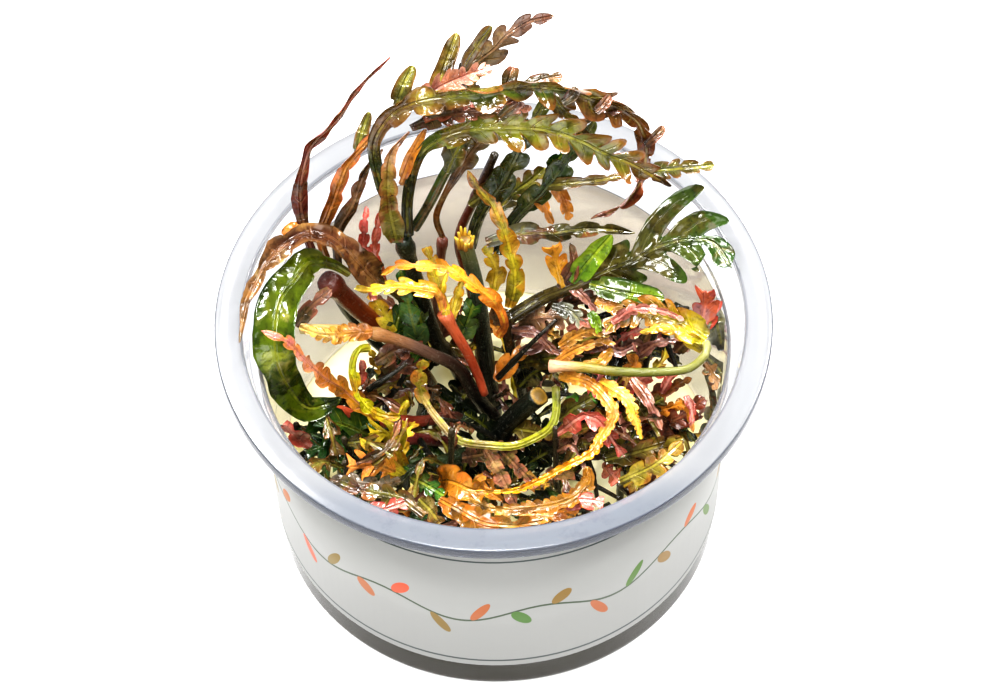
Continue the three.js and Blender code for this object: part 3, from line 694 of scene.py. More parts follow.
def leaf_skin(name, rib_colour, rib_strength, roughness, depth):
    """The wet skin of a leaf: veins along the rib and out into each lobe, blotches, some of them darkened as
    painted shade, and fine puckers.
    """
    skin = Finish(name)
    place = skin.place()
    offset, lobe, spread = skin.split(skin.attribute("blade", "Vector"))
    blotch = skin.noise(place, 230.0, 4.0, 0.6)
    patches = skin.noise(place, 210.0, 3.0, 0.6)
    grain = skin.noise(place, 1300.0, 3.0)
    dimples = skin.noise(place, 230.0, 1.0)
    rib_line = abs(offset).ramp(0.34, 0.12)
    vein_line = abs(lobe.fraction() - 0.5 + (blotch - 0.5) * 0.3).ramp(0.06, 0.015) * spread.ramp(0.9, 0.5)
    fine = abs((lobe * 4 + spread * 0.8).fraction() - 0.5).ramp(0.12, 0.02) * spread.ramp(0.9, 0.5)
    veins = rib_line.math("MAXIMUM", rib_line * 0.8, vein_line.math("MAXIMUM", vein_line * 0.8, fine * 0.3))
    shade = skin.attribute("tint", "Color")
    shade = skin.mix(shade, skin.attribute("patch", "Color"), patches.ramp(0.5, 0.57) * 0.6)
    # Painted shade: random blotches are darkened towards black, more on some skins than on others.
    shade = skin.mix(shade, BLACK, blotch.ramp(0.52, 0.3) * depth)
    shade = skin.mix(shade, (1.0, 0.8, 0.3, 1), blotch.ramp(0.58, 0.76) * 0.2)
    shade = skin.mix(shade, colour(rib_colour), veins * rib_strength * blotch.ramp(0.36, 0.56))
    shade = skin.mix(shade, BLACK, grain.ramp(0.5, 0.3) * 0.4)
    ridges = (offset * 9).sine() * abs(offset).ramp(0.6, 0.3) * 0.15
    pucker = dimples * 1.3 + blotch * 0.2 + grain * 0.04 - vein_line * 0.25 - rib_line * 0.2 + ridges
    return skin.surface(
        Base_Color=shade, Roughness=roughness + grain * 0.08, Coat_Weight=0.06, Coat_Roughness=0.05,
        Specular_IOR_Level=0.8, Normal=skin.bump(pucker, 0.6 * MM, 0.8))


LEAF_SKINS = {
    "leaf_olive": leaf_skin("olive_leaf_skin", "a8a040", 0.45, 0.07, 0.65),
    "leaf_dark_green": leaf_skin("dark_green_leaf_skin", "7c7840", 0.4, 0.06, 0.6),
    "leaf_shoot": leaf_skin("shoot_leaf_skin", "5c6a30", 0.25, 0.08, 0.7),
    "leaf_green": leaf_skin("green_leaf_skin", "a8a838", 0.45, 0.05, 0.5),
    "leaf_brown": leaf_skin("brown_leaf_skin", "a87850", 0.35, 0.09, 0.65),
    "leaf_yellow": leaf_skin("yellow_leaf_skin", "f0dc48", 0.5, 0.11, 0.45),
    "leaf_orange": leaf_skin("orange_leaf_skin", "d89c30", 0.35, 0.11, 0.55),
    "leaf_pink": leaf_skin("pink_leaf_skin", "f0b0a0", 0.5, 0.12, 0.3),
    "stem_pale_green": leaf_skin("pale_stalk_skin", "c8b858", 0.3, 0.11, 0.5),
}
FLECKS = {
    "leaf_olive": "7c3c24", "leaf_dark_green": "3c4c20", "leaf_green": "5a8418", "leaf_brown": "4c3a20",
    "leaf_yellow": "c88c24", "leaf_orange": "b86820", "leaf_pink": "c86438", "stem_pale_green": "98a030",
}


def grow(name, slot, route, tints, **shape):
    """Makes a leaf, in place of the solid of the same name."""
    bm = bmesh.new()
    add_leaf(bm, route, tints, **dict(fleck=FLECKS[slot]) | shape)
    keep(bm, "shown_" + name, LEAF_SKINS[slot], [name], subdivide=1)


grow("leaf_arch_upper", "leaf_olive",
     [(-17, 17, 63), (-18, 18, 70), (-20, 19, 80), (-20, 20, 88), (-16, 22, 93), (-10, 22, 96),
      (-1, 21, 98), (9, 23, 97), (18, 24, 92), (25, 25, 86), (28, 24, 79), (27, 21, 72), (23, 18, 68),
      (18, 17, 66)], "10180c 1a2810 2e4018 6a4a30 7c7028 64701c 48581a 5c501c 6c441a 743818 74402a 8c4c38",
     width=5.4, stalk=0.27, stalk_width=2.0, face=FRONT, crease=0.6, wave=2.0, lean=1.2, rib=0.5,
     left=[0.3, 0.4, 0.7, 0.8, 1.1, 1.4, 1.8, 1.9, 1.5, 1.3, 0.9, 0.6, 0.4, 0.2],
     right=[0.3, 0.5, 0.6, 0.9, 1.0, 1.5, 2.0, 1.5, 1.6, 1.1, 1.0, 0.5, 0.4, 0.2], crumple=0.8, seed=3,
     edge="804a2a", fleck="6c481e", fill=0.94)
grow("leaf_arch_lower", "leaf_olive",
     [(-15, 16, 64), (-15, 18, 70), (-14, 19, 77), (-12, 20, 83), (-8, 20, 87), (-3, 20, 89), (5, 20, 89),
      (13, 20, 87), (20, 18, 84), (27, 17, 80), (32, 16, 76)],
     "141c10 1c2812 2c3814 54601a 808020 747420 5c5e18 5c521a 6c441c", width=7.2, stalk=0.36,
     stalk_width=1.8, face=(0, -0.9, 0.5), crease=0.35, wave=1.8, lean=1.0,
     left=[0.8, 1.7, 2.6, 2.2, 3.1, 2.6, 2.9, 2.2, 1.8, 1.0],
     right=[0.6, 2.0, 2.3, 3.0, 2.4, 3.0, 2.5, 2.4, 1.5, 0.8], rib=0.36, crumple=0.8, seed=5, edge="844c28",
     fleck="6c4a1c", roundness=2.1, fill=0.92)
grow("leaf_plume", "leaf_brown",
     [(-14, 18, 63), (-11, 20, 68), (-8, 23, 73), (-5, 24, 78), (-3, 26, 83), (-3, 28, 88), (-3, 31, 92),
      (1, 33, 95), (4, 34, 98), (8, 36, 99), (12, 36, 100)],
     "26301c 34421e 4c5a1e 666c28 766c34 7e6c48 846858 70463c", width=9, stalk=0.5, stalk_width=1.7,
     face=FRONT, crease=0.1, wave=0.5, lean=1.0, rib=0.22, seed=7, fill=0.9, roundness=2.3,
     left=[0.8, 1.4, 1.6, 1.8, 1.3, 0.7], right=[0.8, 1.6, 2.4, 2.0, 1.1, 0.6], edge="6c4c3c")
grow("leaf_folded", "leaf_olive",
     [(-17, 14, 65), (-18, 15, 73), (-18, 15, 81), (-17, 16, 88), (-14, 18, 91)],
     "4c4c1c 6c6424 8a7a30 a8804c c88c68", width=3.8, lobes=6, stalk=0.1, face=FRONT, crease=0.7, rib=0.75,
     fill=0.98, seed=9, edge="c08458")

# Leaves at the left
# Three slender leaves stand up behind the left rim. A broad green leaf and a brown one fold over the rim and
# curl down on both sides of it.
grow("leaf_left_tall", "leaf_brown",
     [(-32, 15, 58), (-34, 19, 64), (-34, 21, 74), (-32, 24, 80), (-27, 25, 86), (-23, 27, 92),
      (-17, 30, 97)], "3c1c18 5a2820 6c3024 7a3626 8c3e2a b0482c", width=2.8, lobes=5, stalk=0.2,
     face=(0.3, -1, 0), rib=0.66, taper=0.2, lean=1.5, fill=0.98, roundness=1.5, seed=11, edge="7c2c20")
grow("leaf_left_middle", "leaf_orange",
     [(-30, 15, 59), (-31, 17, 62), (-29, 19, 68), (-27, 20, 74), (-25, 21, 79), (-21, 23, 83),
      (-18, 24, 87)], "5a3418 7c4a20 9a6024 a8742c c08070", width=2.8, lobes=5, stalk=0.25, face=FRONT,
     rib=0.66, taper=0.4, lean=1.5, fill=0.98, roundness=1.6, seed=12, edge="b05c38")
grow("leaf_left_short", "leaf_brown",
     [(-28, 15, 56), (-28, 19, 61), (-25, 20, 68), (-23, 22, 73), (-21, 22, 78), (-19, 23, 80)],
     "2c2416 4c3820 6c4a28 80582c", width=2.7, stalk=0.3, face=FRONT, rib=0.64, lean=1.3, fill=0.98,
     roundness=1.6, seed=13, edge="7a4a30")
grow("leaf_green_curl", "leaf_green",
     [(-26, 12, 58), (-29, 12, 61), (-33, 11, 63), (-35, 8, 63), (-38, 3, 63), (-39, -2, 61), (-39, -6, 57),
      (-37, -7, 49), (-34, -7, 43), (-31, -5, 41), (-28, -5, 43)],
     "5e5410 585c0e 4c580e 40500c 34460c 28380a 1e2e0a", width=2.6, stalk=0.12, face=(0.2, -0.7, 0.8),
     crease=0.12, wave=0.4, lean=0.35, rib=0.7, seed=15, curl=0.045, left=[2.9], right=[3.2], fill=1.0,
     roundness=1.7, lobe_rows=44, crumple=0.2, edge="26400a", fleck="5c6c12")
grow("leaf_brown_over", "leaf_brown",
     [(-16, 14, 46), (-19, 14, 50), (-22, 13, 55), (-25, 13, 61), (-29, 14, 66), (-34, 13, 68),
      (-39, 9, 68), (-42, 3, 68), (-44, -3, 67), (-45, -8, 65)],
     "343c1a 5c4824 643c24 5c3822 4c2c1c 54381a 5c4022 444022", width=5.0, lobes=6, stalk=0.2, face=SKY,
     crease=0.45, wave=1.0, rib=0.8, taper=0.5, lean=0.5, seed=17, crumple=0.9, fill=1.0, edge="84603c",
     fleck="946c3c")

# Leaves in the middle
# Yellow and orange leaves twist and lie across the tops of the stems, with darker ones behind them. They are
# soft and wet, and most hang on a stem's upper joint.
grow("leaf_twisted", "leaf_yellow",
     [(3, 12, 47), (4, 13, 52), (4, 14, 56), (3, 15, 61), (2, 16, 66), (0, 18, 70), (-2, 19, 73),
      (-4, 20, 77)], "5a5a1c a09428 a89c24 98881e 847424 746028 84603a", width=3.7, lobes=7, stalk=0.08,
     face=FRONT, turn=0.6, crease=0.5, rib=0.56, lean=1.4, fill=0.9, crumple=0.8, seed=21, edge="a8602c")
grow("leaf_yellow_long", "leaf_yellow",
     [(1, 9, 42), (2, 8, 47), (0, 9, 53), (-4, 10, 57), (-8, 11, 60), (-13, 11, 61), (-17, 11, 61),
      (-20, 10, 60)], "b8582c c86c30 cc7824 cc8c20 d09c24 d09828 cc8028 b04418", width=3.1, lobes=7,
     stalk=0.28, rib=0.42, taper=0.4, lean=1.3, fill=0.8, seed=22, edge="e89a20", fleck="d8802c")
grow("leaf_yellow_short", "leaf_yellow",
     [(-9, 7, 53), (-10, 8, 57), (-12, 8, 58), (-17, 9, 58), (-22, 9, 57), (-25, 10, 56)],
     "c87048 cc8c34 d0ac30 d4b838 d0b854", width=3.2, lobes=5, stalk=0.22, rib=0.42, lean=1.3, fill=0.8,
     seed=23, edge="d8bc24", fleck="c88c2c")
grow("leaf_green_small", "leaf_green", [(-13, 11, 34), (-14, 11, 38), (-15, 12, 44), (-16, 13, 52)],
     "3c5a2c 4a6a3c 7c9a7c 6c8c5c", width=4.6, lobes=3, face=FRONT, rib=0.4, lean=1.4, seed=24,
     edge="4c6a40")
grow("leaf_orange_fork", "leaf_orange", [(13, 12, 52), (12, 14, 56), (11, 15, 61)], "b8902c c8922c cc8a34",
     width=4.4, lobes=2, face=FRONT, rib=0.35, lean=1.6, seed=25, edge="d08830")
grow("leaf_across", "leaf_olive", [(-1, 19, 57), (5, 20, 58), (11, 20, 58), (18, 20, 59), (26, 18, 60)],
     "6c6c54 74745c 58562e 4c4420 4a3c20", stalk=0.12, rib=0.5, taper=0.6, lean=1.0, seed=26, edge="6c6440")
grow("leaf_back_left", "leaf_dark_green",
     [(-4, 22, 52), (-2, 22, 62), (3, 23, 72), (7, 25, 82), (11, 28, 88)],
     "1e2616 28321a 323c1c 3c461e 54502a", width=5.4, stalk=0.35, stalk_width=2.0, face=FRONT, rib=0.4,
     lean=1.0, seed=27, edge="3c4420")
grow("leaf_back_right", "leaf_dark_green",
     [(1, 19, 54), (4, 22, 60), (10, 23, 68), (15, 25, 76), (19, 28, 81)], "20281a 2c3a1e 3a4a24 4c4c26",
     width=5.4, stalk=0.3, stalk_width=1.8, face=FRONT, rib=0.4, lean=1.0, seed=28, edge="4a5024")
grow("leaf_thin_curve", "leaf_brown",
     [(-9, 23, 54), (-10, 23, 60), (-8, 24, 66), (-4, 27, 72), (-1, 28, 76), (3, 28, 78)],
     "8a5a2c 7c4c1c 704416 7a5c34 8c8c74", width=4.4, lobes=3, stalk=0.6, stalk_width=0.9, face=FRONT,
     rib=0.4, lean=0.8, seed=29, edge="8a8a6a")

# Leaves at the right
# The biggest leaf lies out to the right over the rim. Below it a pale stalk ends in a fan of yellow lobes,
# and small pink and brown leaves press against the wall.
grow("leaf_right_big", "leaf_dark_green",
     [(3, 10, 46), (9, 12, 49), (14, 12, 52), (20, 13, 55), (25, 13, 58), (30, 14, 61), (36, 14, 63),
      (40, 13, 63), (43, 8, 62)], "302a18 3c331c 483c20 4c4420 4a4a1e 44501c 344c1a 344c2c", width=14,
     stalk=0.38, stalk_width=2.3, face=(0, -0.6, 0.8), crease=0.14, wave=0.7, lean=1.2,
     left=[2.2, 8.2, 4.2, 1.2], right=[2.6, 6.0, 5.2, 1.4], fill=0.84, roundness=2.4, lobe_rows=12, seed=31,
     crumple=0.4, edge="34501a", fleck="54481e")
grow("leaf_fan", "leaf_yellow",
     [(38, -3, 56), (36, -2, 57), (32, 0, 58), (26, 2, 58), (22, 1, 57), (20, -1, 56)],
     "b4a820 98821c 745e1c 5e501c 62481c 78502c", width=6.4, lobes=6, stalk=0.05, rib=0.5, lean=1.1,
     crease=0.5, crumple=1.0, seed=32, edge="c88838", fleck="7c5c28")
grow("leaf_pink_fork", "leaf_pink", [(37, 1, 53), (38, 3, 57), (38, 4, 61)], "b88474 a86058 904038", width=5,
     lobes=2, face=FRONT, rib=0.4, lean=1.6, seed=33, edge="b44c48")
grow("leaf_wall_right", "leaf_olive", [(38, -8, 53), (39, -10, 49), (39, -11, 44), (38, -12, 38)],
     "7a7a68 5c5c48 74745c 5c5a3c", width=3, lobes=3, face=LEFT, seed=34, edge="8c8c7c")
grow("leaf_brown_right", "leaf_brown", [(38, -6, 52), (39, -9, 53), (40, -13, 54)], "6c5034 7a5c3c 8a6c50",
     width=3.2, lobes=3, seed=35, edge="8a6a44")
grow("leaf_tangle", "leaf_brown", [(5, 11, 43), (9, 10, 46), (15, 9, 46), (18, 7, 44)],
     "5a4c34 7c5c48 8c6c4c 6a5a34", width=5, seed=36, edge="a87c60")
grow("leaf_olive_right", "leaf_olive", [(20, -9, 28), (26, -13, 35), (33, -17, 42)],
     "4c4420 6c6428 8c8030 a08c3c", width=6.4, seed=37, edge="9a8a34")
grow("leaf_red_pinnate", "leaf_brown", [(27, -7, 34), (33, -8, 38), (38, -6, 42)], "7a3c28 8c4a30 94503c",
     width=5.4, seed=38, rib=0.2, edge="9c4a30")
grow("leaf_low_fork", "leaf_pink", [(20, -9, 25), (21, -15, 31), (22, -20, 36)], "a05c48 c87460 dc9080",
     width=4.4, lobes=3, seed=39, edge="d87860")
grow("leaf_rim_right", "leaf_olive", [(22, -24, 42), (29, -24, 48), (33, -21, 50)], "6c6428 8a7c2c 9c7434",
     width=4.4, seed=40, edge="a8842c")

# Leaves at the front
# Orange, yellow and pink leaves with frilled edges loop over the low stems and lie along the front wall. The
# narrowest have only a frill of blade along the rib.
grow("leaf_pink_feather", "leaf_pink",
     [(-22, 1, 28), (-25, 1, 32), (-28, 1, 37), (-31, -2, 45), (-34, -5, 55), (-37, -7, 64), (-41, -7, 67)],
     "d8942c e0a030 e4983c e49460 e89c8c e48c80 e07468", lobes=9, stalk=0.05, face=(0.2, -0.5, 1), rib=0.44,
     lean=1.9, fill=0.85, roundness=2.0, seed=41, edge="e8a468", fleck="e0882c")
grow("leaf_yellow_curl", "leaf_yellow",
     [(-23, 4, 46), (-25, 2, 48), (-26, -1, 46), (-25, -4, 42), (-22, -5, 38), (-18, -5, 37),
      (-16, -3, 39)], "8c8c1c 98981c a4a01c aca41c b09c24 a48830", width=2.6, lobes=6, stalk=0.3, face=RIGHT,
     rib=0.6, seed=42, edge="b4a81c")
grow("leaf_loop", "stem_pale_green",
     [(11, -3, 42), (11, -7, 40), (10, -9, 38), (7, -10, 36), (3, -11, 35), (-1, -10, 34), (-7, -8, 33),
      (-10, -5, 34), (-13, -1, 36), (-14, 0, 40), (-13, 1, 46)],
     "7c7c34 8a8c24 96961c 9c9820 988838 8c784a 947c4c a48a50 b47c34 a8602c", width=3.4, lobes=3, stalk=0.76,
     stalk_width=1.25, seed=43, edge="c87830")
grow("leaf_green_left", "leaf_dark_green", [(-22, -2, 28), (-29, -7, 32), (-35, -11, 35)],
     "1c3414 1a3816 1e441c 2c4424", width=11, lobes=5, stalk=0.1, face=SKY, rib=0.3, lean=1.0, wave=1.4,
     crumple=1.0, seed=44, edge="3c4c34", fleck="0c160a")
grow("leaf_silver", "leaf_brown", [(-18, -20, 38), (-21, -23, 41), (-26, -24, 44), (-30, -24, 45)],
     "4c4030 686052 7c766a 544636", width=4.6, seed=45, edge="8a8070")
grow("leaf_rim_left", "leaf_olive", [(-13, -35, 49), (-17, -32, 50), (-23, -30, 50), (-28, -28, 50)],
     "7a5c34 5c5428 4c4c24 5a5030", width=4.4, seed=46, edge="8a6a34")
grow("leaf_orange_crumpled", "leaf_orange", [(-10, -19, 36), (-8, -22, 40), (-5, -25, 42), (-2, -26, 42)],
     "744812 865414 946418 7e5214", width=6.4, lobes=3, rib=0.7, crease=0.5, wave=1.2, seed=47,
     edge="9c681c")
grow("leaf_orange_wide", "leaf_orange", [(-8, -30, 44), (-3, -34, 45), (2, -35, 45), (9, -34, 45)],
     "684412 7a5414 845e16 684a12", width=5.6, rib=0.6, seed=48, edge="94681c")
grow("leaf_frilled", "leaf_orange",
     [(12, -4, 47), (17, -8, 50), (20, -12, 50), (21, -14, 49), (19, -17, 47), (17, -20, 46), (13, -22, 45),
      (8, -25, 45), (3, -28, 46), (-4, -28, 46)],
     "b88428 c88c40 d09850 cc8e38 cc8820 d09018 cc901c c49424 ccac40", width=2.3, lobes=30, stalk=0.06,
     stalk_width=1.2, rib=0.74, lean=0.4, crease=0.5, roundness=1.7, lobe_rows=4, seed=49, edge="e09c1c",
     fleck="b06c18")
grow("leaf_frilled_small", "leaf_yellow", [(19, -7, 49), (23, -11, 50), (25, -14, 48), (26, -17, 45)],
     "dc9c48 e4b050 dcb45c", width=2.6, lobes=12, rib=0.6, fill=1.0, roundness=1.6, lobe_rows=4, crumple=0.7,
     seed=50, edge="e8a840")
grow("leaf_strand", "leaf_orange",
     [(16, -24, 46), (16, -28, 48), (12, -33, 50), (6, -35, 51), (-1, -35, 51), (-6, -32, 50)],
     "70521c 7c581e 845c1c 8a6420 8c6828", width=3.2, lobes=18, rib=0.6, fill=1.0, roundness=1.6,
     lobe_rows=4, crumple=0.8, seed=51, edge="a8701c", fleck="744814")
grow("leaf_rosette_left", "leaf_yellow", [(-17, -13, 31), (-19, -12, 36), (-20, -11, 40), (-23, -13, 43)],
     "70781c 988c1c b09424", width=7.4, rib=0.22, lean=1.3, fill=0.56, wave=1.4, seed=52, edge="c8a420",
     fleck="90841c")
grow("leaf_rosette_low", "leaf_orange", [(-17, -14, 30), (-21, -16, 37), (-27, -20, 43)],
     "b88c28 d88c3c e89c58", width=7.4, rib=0.22, lean=1.3, fill=0.6, wave=1.4, seed=53, edge="ec9c50",
     fleck="d08038")
grow("leaf_rosette_spike", "leaf_yellow", [(-15, -15, 30), (-16, -19, 34), (-15, -27, 38)],
     "d8c87c e8dca8 ece4c0", width=2.2, lobes=3, rib=0.5, seed=54, edge="e8dc9c")

# Small leaves
# Smaller leaves of the same plants fill the room between the big ones and grow from the same stems. Most are
# given by where they run in the 1000 by 700 picture, with their height in millimetres at each place.
FRAME_WIDTH = 1000
FRAME_HEIGHT = 700
PIXEL = SENSOR_WIDTH / FOCAL_LENGTH / FRAME_WIDTH
NARROW = 2.7
SIDE_WIDTH = 4.4
SIDE_LOBES = 6
numbers = itertools.count(1)


def seen(x, y, height):
    """The point, in millimetres, at a height on the line of sight through a pixel."""
    ray = ahead + eye_right * ((x - FRAME_WIDTH / 2) * PIXEL) + eye_up * ((FRAME_HEIGHT / 2 - y) * PIXEL)
    return (eye + ray * ((height * MM - eye.z) / ray.z)) / MM


def pixel(point):
    """The pixel where a point in millimetres is seen."""
    sight = Vector(point) * MM - eye
    depth = sight.dot(ahead) * PIXEL
    return FRAME_WIDTH / 2 + sight.dot(eye_right) / depth, FRAME_HEIGHT / 2 - sight.dot(eye_up) / depth


SHADES = {slot: dict(tints=(one, two), edge=edge, fleck=fleck) for slot, one, two, edge, fleck in (
    ("leaf_olive", "3c4020 5c5c28 6c6a2c", "4c4820 6a5c2a 7c6030", "7a4a28", "5a4a20"),
    ("leaf_brown", "4c3424 6a4a38 7c5444", "3c2c20 5c4030 8a5c48", "9a6048", "4c4a22"),
    ("leaf_pink", "8a4438 b06454 c87c68", "a05848 c87060 d89080", "c84c44", "8c3c28"),
    ("leaf_green", "1e3416 2c4c1c 3a6424", "24341a 33521f 4c7a2c", "24401c", "4c5a20"),
    ("leaf_yellow", "b0a02c d4c434 e0cc48", "a89430 ccb02c dcc050", "d08a28", "a87c24"),
    ("leaf_orange", "a06424 c0782a cc8a38", "8c5a28 b8742c d09040", "d09038", "8a4a1c"),
)}


def small_leaf(bm, slot, number, route, width, lobes, **shape):
    """Adds a small leaf in one of the two shades of its slot, or in colours of its own."""
    shade = SHADES[slot] | dict(tints=SHADES[slot]["tints"][number % 2])
    rib = 0.62 if width < NARROW else 0.4
    options = dict(stalk=0.12, stalk_width=0.8, columns=6, lobe_rows=5, seed=100 + number, fill=0.9,
                   roundness=2.4, rib=rib, lean=1.0)
    add_leaf(bm, route, width=width, lobes=lobes, **shade | options | shape)


def scatter(slot, side_routes, traced):
    """Makes the small leaves of one colour, by routes in millimetres and by places in the picture."""
    bm = bmesh.new()
    for route in side_routes:
        small_leaf(bm, slot, next(numbers), route, SIDE_WIDTH, SIDE_LOBES, fill=0.8, crumple=0.8)
    for places, width, lobes, *shape in traced:
        route = [seen(*place) for place in places]
        small_leaf(bm, slot, next(numbers), route, width, lobes, **(shape[0] if shape else {}))
    keep(bm, "small_" + slot, LEAF_SKINS[slot], subdivide=1)


FINGER = dict(fill=1.0, roundness=2.4, lean=0.1, lobe_rows=12, rib=0.3, crumple=0.3)
CRINKLED = dict(wave=1.7, crease=0.6)
OCHRE = dict(tints="a0702c cc9848 e0b868", edge="e8b868", fleck="a86828")
MAUVE = dict(tints="4c302a 8c5c50 b8887c", edge="c89888", fleck="5c3c2c")
CREAM_PINK = dict(tints="8c5040 b47464 cc9480", edge="dcae98", fleck="a0643c")
SILVER = dict(tints="4c4a3c 6c6c5c 8c8c78", edge="a8a894", fleck="4c4830")
LIME = dict(tints="4c6c18 749020 98b030", edge="8ca030", fleck="4c6c18")
# DARK is near black: partly the leaves' own dark green, partly painted shade where wide leaves of it fill
# the gaps low in the cup.
DARK = dict(tints="0c140a 142010 24301a", edge="34402a", fleck="0a0f08")
scatter("leaf_olive",
        [[(2, 1, 24), (8, -4, 29), (14, -7, 34), (20, -9, 38)],
         [(4, 11, 30), (12, 8, 36), (21, 5, 40), (28, 3, 42)],
         [(4, 12, 26), (11, 12, 32), (19, 12, 37), (27, 11, 42)],
         [(18, -6, 25), (25, -11, 30), (31, -16, 35)], [(-11, -8, 26), (-12, -16, 31), (-12, -24, 36)]], [
    ([(396, 106, 92), (404, 85, 95), (413, 66, 97)], 3.4, 1, FINGER),
    ([(434, 100, 91), (445, 66, 95), (457, 33, 99)], 4.4, 1, FINGER | dict(tints="7c6830 6c6028 74682c")),
    ([(357, 155, 80), (362, 133, 83), (369, 112, 86)], 3, 1, FINGER),
    ([(460, 72, 95), (474, 48, 97), (491, 26, 99)], 4.0, 1,
     FINGER | dict(face=(0.3, -1, -0.2), tints="6a503c 605432 585022")),
    ([(448, 172, 74), (456, 152, 78), (470, 136, 81), (484, 132, 83)], 5, 3),
    ([(548, 92, 93), (562, 110, 90), (576, 126, 87), (588, 142, 84)], 3.2, 3),
    ([(642, 172, 79), (665, 170, 77), (690, 168, 75), (714, 165, 74)], 3.6, 4),
    ([(545, 186, 68), (565, 184, 70), (600, 180, 71), (626, 175, 72)], 2.6, 3),
    ([(498, 210, 61), (516, 192, 64), (532, 180, 66), (546, 168, 68)], 4.5, 4),
    ([(470, 205, 62), (488, 190, 66), (500, 170, 70), (512, 160, 72)], 3.6, 3),
    ([(622, 420, 36), (645, 408, 40), (664, 398, 43)], 4.6, 3),
    ([(606, 460, 34), (645, 450, 38), (684, 438, 42)], 4.6, 4),
    ([(560, 420, 36), (575, 408, 40), (592, 398, 42)], 4.6, 2),
    ([(420, 500, 40), (432, 512, 42), (440, 524, 44)], 3.6, 3),
    ([(722, 350, 50), (716, 322, 54), (707, 299, 57)], 5, 1, FINGER | SILVER),
    ([(552, 306, 50), (568, 310, 50), (584, 326, 48)], 3.0, 3, SILVER),
    ([(706, 356, 50), (724, 376, 47), (722, 402, 43), (708, 430, 38)], 2.6, 4, SILVER),
    ([(636, 398, 40), (655, 428, 39), (668, 458, 38)], 1.4, 2),
])
scatter("leaf_brown",
        [[(3, 11, 38), (10, 12, 44), (19, 12, 49), (25, 11, 52)],
         [(14, -2, 21), (21, 0, 28), (28, 0, 34), (34, -1, 39)], [(15, -3, 22), (14, -7, 27), (11, -9, 33)],
         [(-7, -6, 24), (-1, -8, 29), (5, -9, 33)]], [
    ([(412, 128, 87), (440, 117, 90), (485, 112, 92), (532, 108, 94)], 3.4, 8, CRINKLED),
    ([(505, 92, 96), (509, 80, 98), (513, 67, 99)], 2.6, 1),
    ([(522, 88, 96), (542, 80, 97), (563, 76, 98)], 2.6, 2),
    ([(563, 103, 94), (571, 96, 95), (578, 88, 96)], 2.2, 1),
    ([(596, 112, 90), (604, 104, 91), (610, 95, 92)], 2.2, 1),
    ([(646, 145, 79), (656, 136, 81), (664, 126, 82)], 2, 1),
    ([(552, 130, 87), (590, 119, 88), (622, 111, 88)], 1.2, 2),
    ([(500, 118, 92), (512, 108, 94), (520, 102, 95), (512, 98, 96), (503, 103, 95)], 2.2, 2),
    ([(512, 330, 42), (536, 334, 43), (556, 352, 41), (584, 356, 41)], 2.0, 5, MAUVE),
    ([(520, 352, 38), (540, 344, 40), (548, 322, 44)], 2.2, 3, MAUVE),
    ([(566, 282, 53), (580, 294, 52), (596, 312, 50)], 2.0, 3, MAUVE),
    ([(584, 350, 42), (602, 344, 44), (620, 352, 44), (634, 346, 45)], 2.4, 4, MAUVE),
    ([(638, 356, 44), (656, 344, 47), (672, 342, 48), (690, 350, 48)], 2.2, 4, MAUVE),
    ([(646, 408, 38), (668, 390, 42), (692, 378, 45)], 2.6, 4, dict(tints="6c3c1c a0622c b8783c")),
    ([(596, 300, 52), (612, 306, 52), (626, 298, 54)], 2.2, 4, CRINKLED | OCHRE),
    ([(676, 352, 47), (684, 340, 50), (676, 328, 52)], 2.4, 4, dict(tints="3c2418 5c3426 7c4836")),
    ([(376, 362, 38), (398, 350, 41), (424, 348, 42)], 4.2, 3, CRINKLED),
    ([(380, 380, 35), (404, 368, 38), (426, 366, 38)], 4, 3, CRINKLED),
    ([(297, 326, 50), (310, 308, 54), (332, 289, 57)], 3.4, 2),
    ([(560, 288, 52), (574, 264, 57), (570, 243, 61)], 2.6, 2),
    ([(486, 450, 33), (502, 478, 38), (516, 508, 42)], 3, 3),
    ([(500, 450, 32), (518, 468, 36), (538, 488, 40)], 3, 3),
])
scatter("leaf_pink", [[(11, 1, 18), (18, 4, 25), (25, 5, 31), (32, 5, 36)]], [
    ([(418, 106, 92), (440, 88, 95), (466, 76, 97), (492, 68, 98)], 4.4, 8, CRINKLED | CREAM_PINK),
    ([(424, 120, 89), (452, 106, 91), (484, 100, 92), (520, 102, 92)], 3.6, 6,
     CRINKLED | dict(tints="8c4c3c b0685c 9c5a3c", edge="d09880", fleck="8c5428")),
    ([(374, 300, 46), (364, 258, 52), (364, 230, 57), (366, 206, 60)], 2.4, 6,
     dict(tints="8c4c28 c05c48 d05048", rib=0.5)),
    ([(384, 282, 46), (374, 250, 52), (378, 222, 56), (386, 198, 60)], 2.2, 5,
     dict(tints="7c4024 a8583c a05848", rib=0.5)),
    ([(356, 385, 38), (362, 374, 42), (361, 360, 46)], 2, 2),
    ([(612, 322, 57), (636, 309, 60), (662, 311, 60), (684, 320, 59)], 2.0, 7,
     dict(tints="9c5444 c07464 d08c7c", edge="d8988a", rib=0.5)),
    ([(632, 378, 44), (646, 398, 43), (662, 430, 40)], 2.6, 2, CREAM_PINK),
    ([(662, 392, 42), (672, 376, 46), (684, 366, 48)], 1.7, 4),
    ([(686, 396, 43), (692, 412, 42), (690, 428, 41)], 1.5, 4),
    ([(568, 330, 46), (586, 322, 49), (606, 330, 49), (622, 324, 50)], 1.8, 5, CREAM_PINK),
    ([(696, 330, 52), (712, 316, 55), (716, 300, 57)], 3, 2),
    ([(362, 508, 50), (384, 510, 51), (406, 503, 50)], 3.4, 3),
    ([(556, 504, 48), (580, 500, 49), (604, 503, 49)], 3.4, 3),
    ([(310, 446, 38), (296, 436, 42), (283, 424, 46)], 3.4, 2),
])
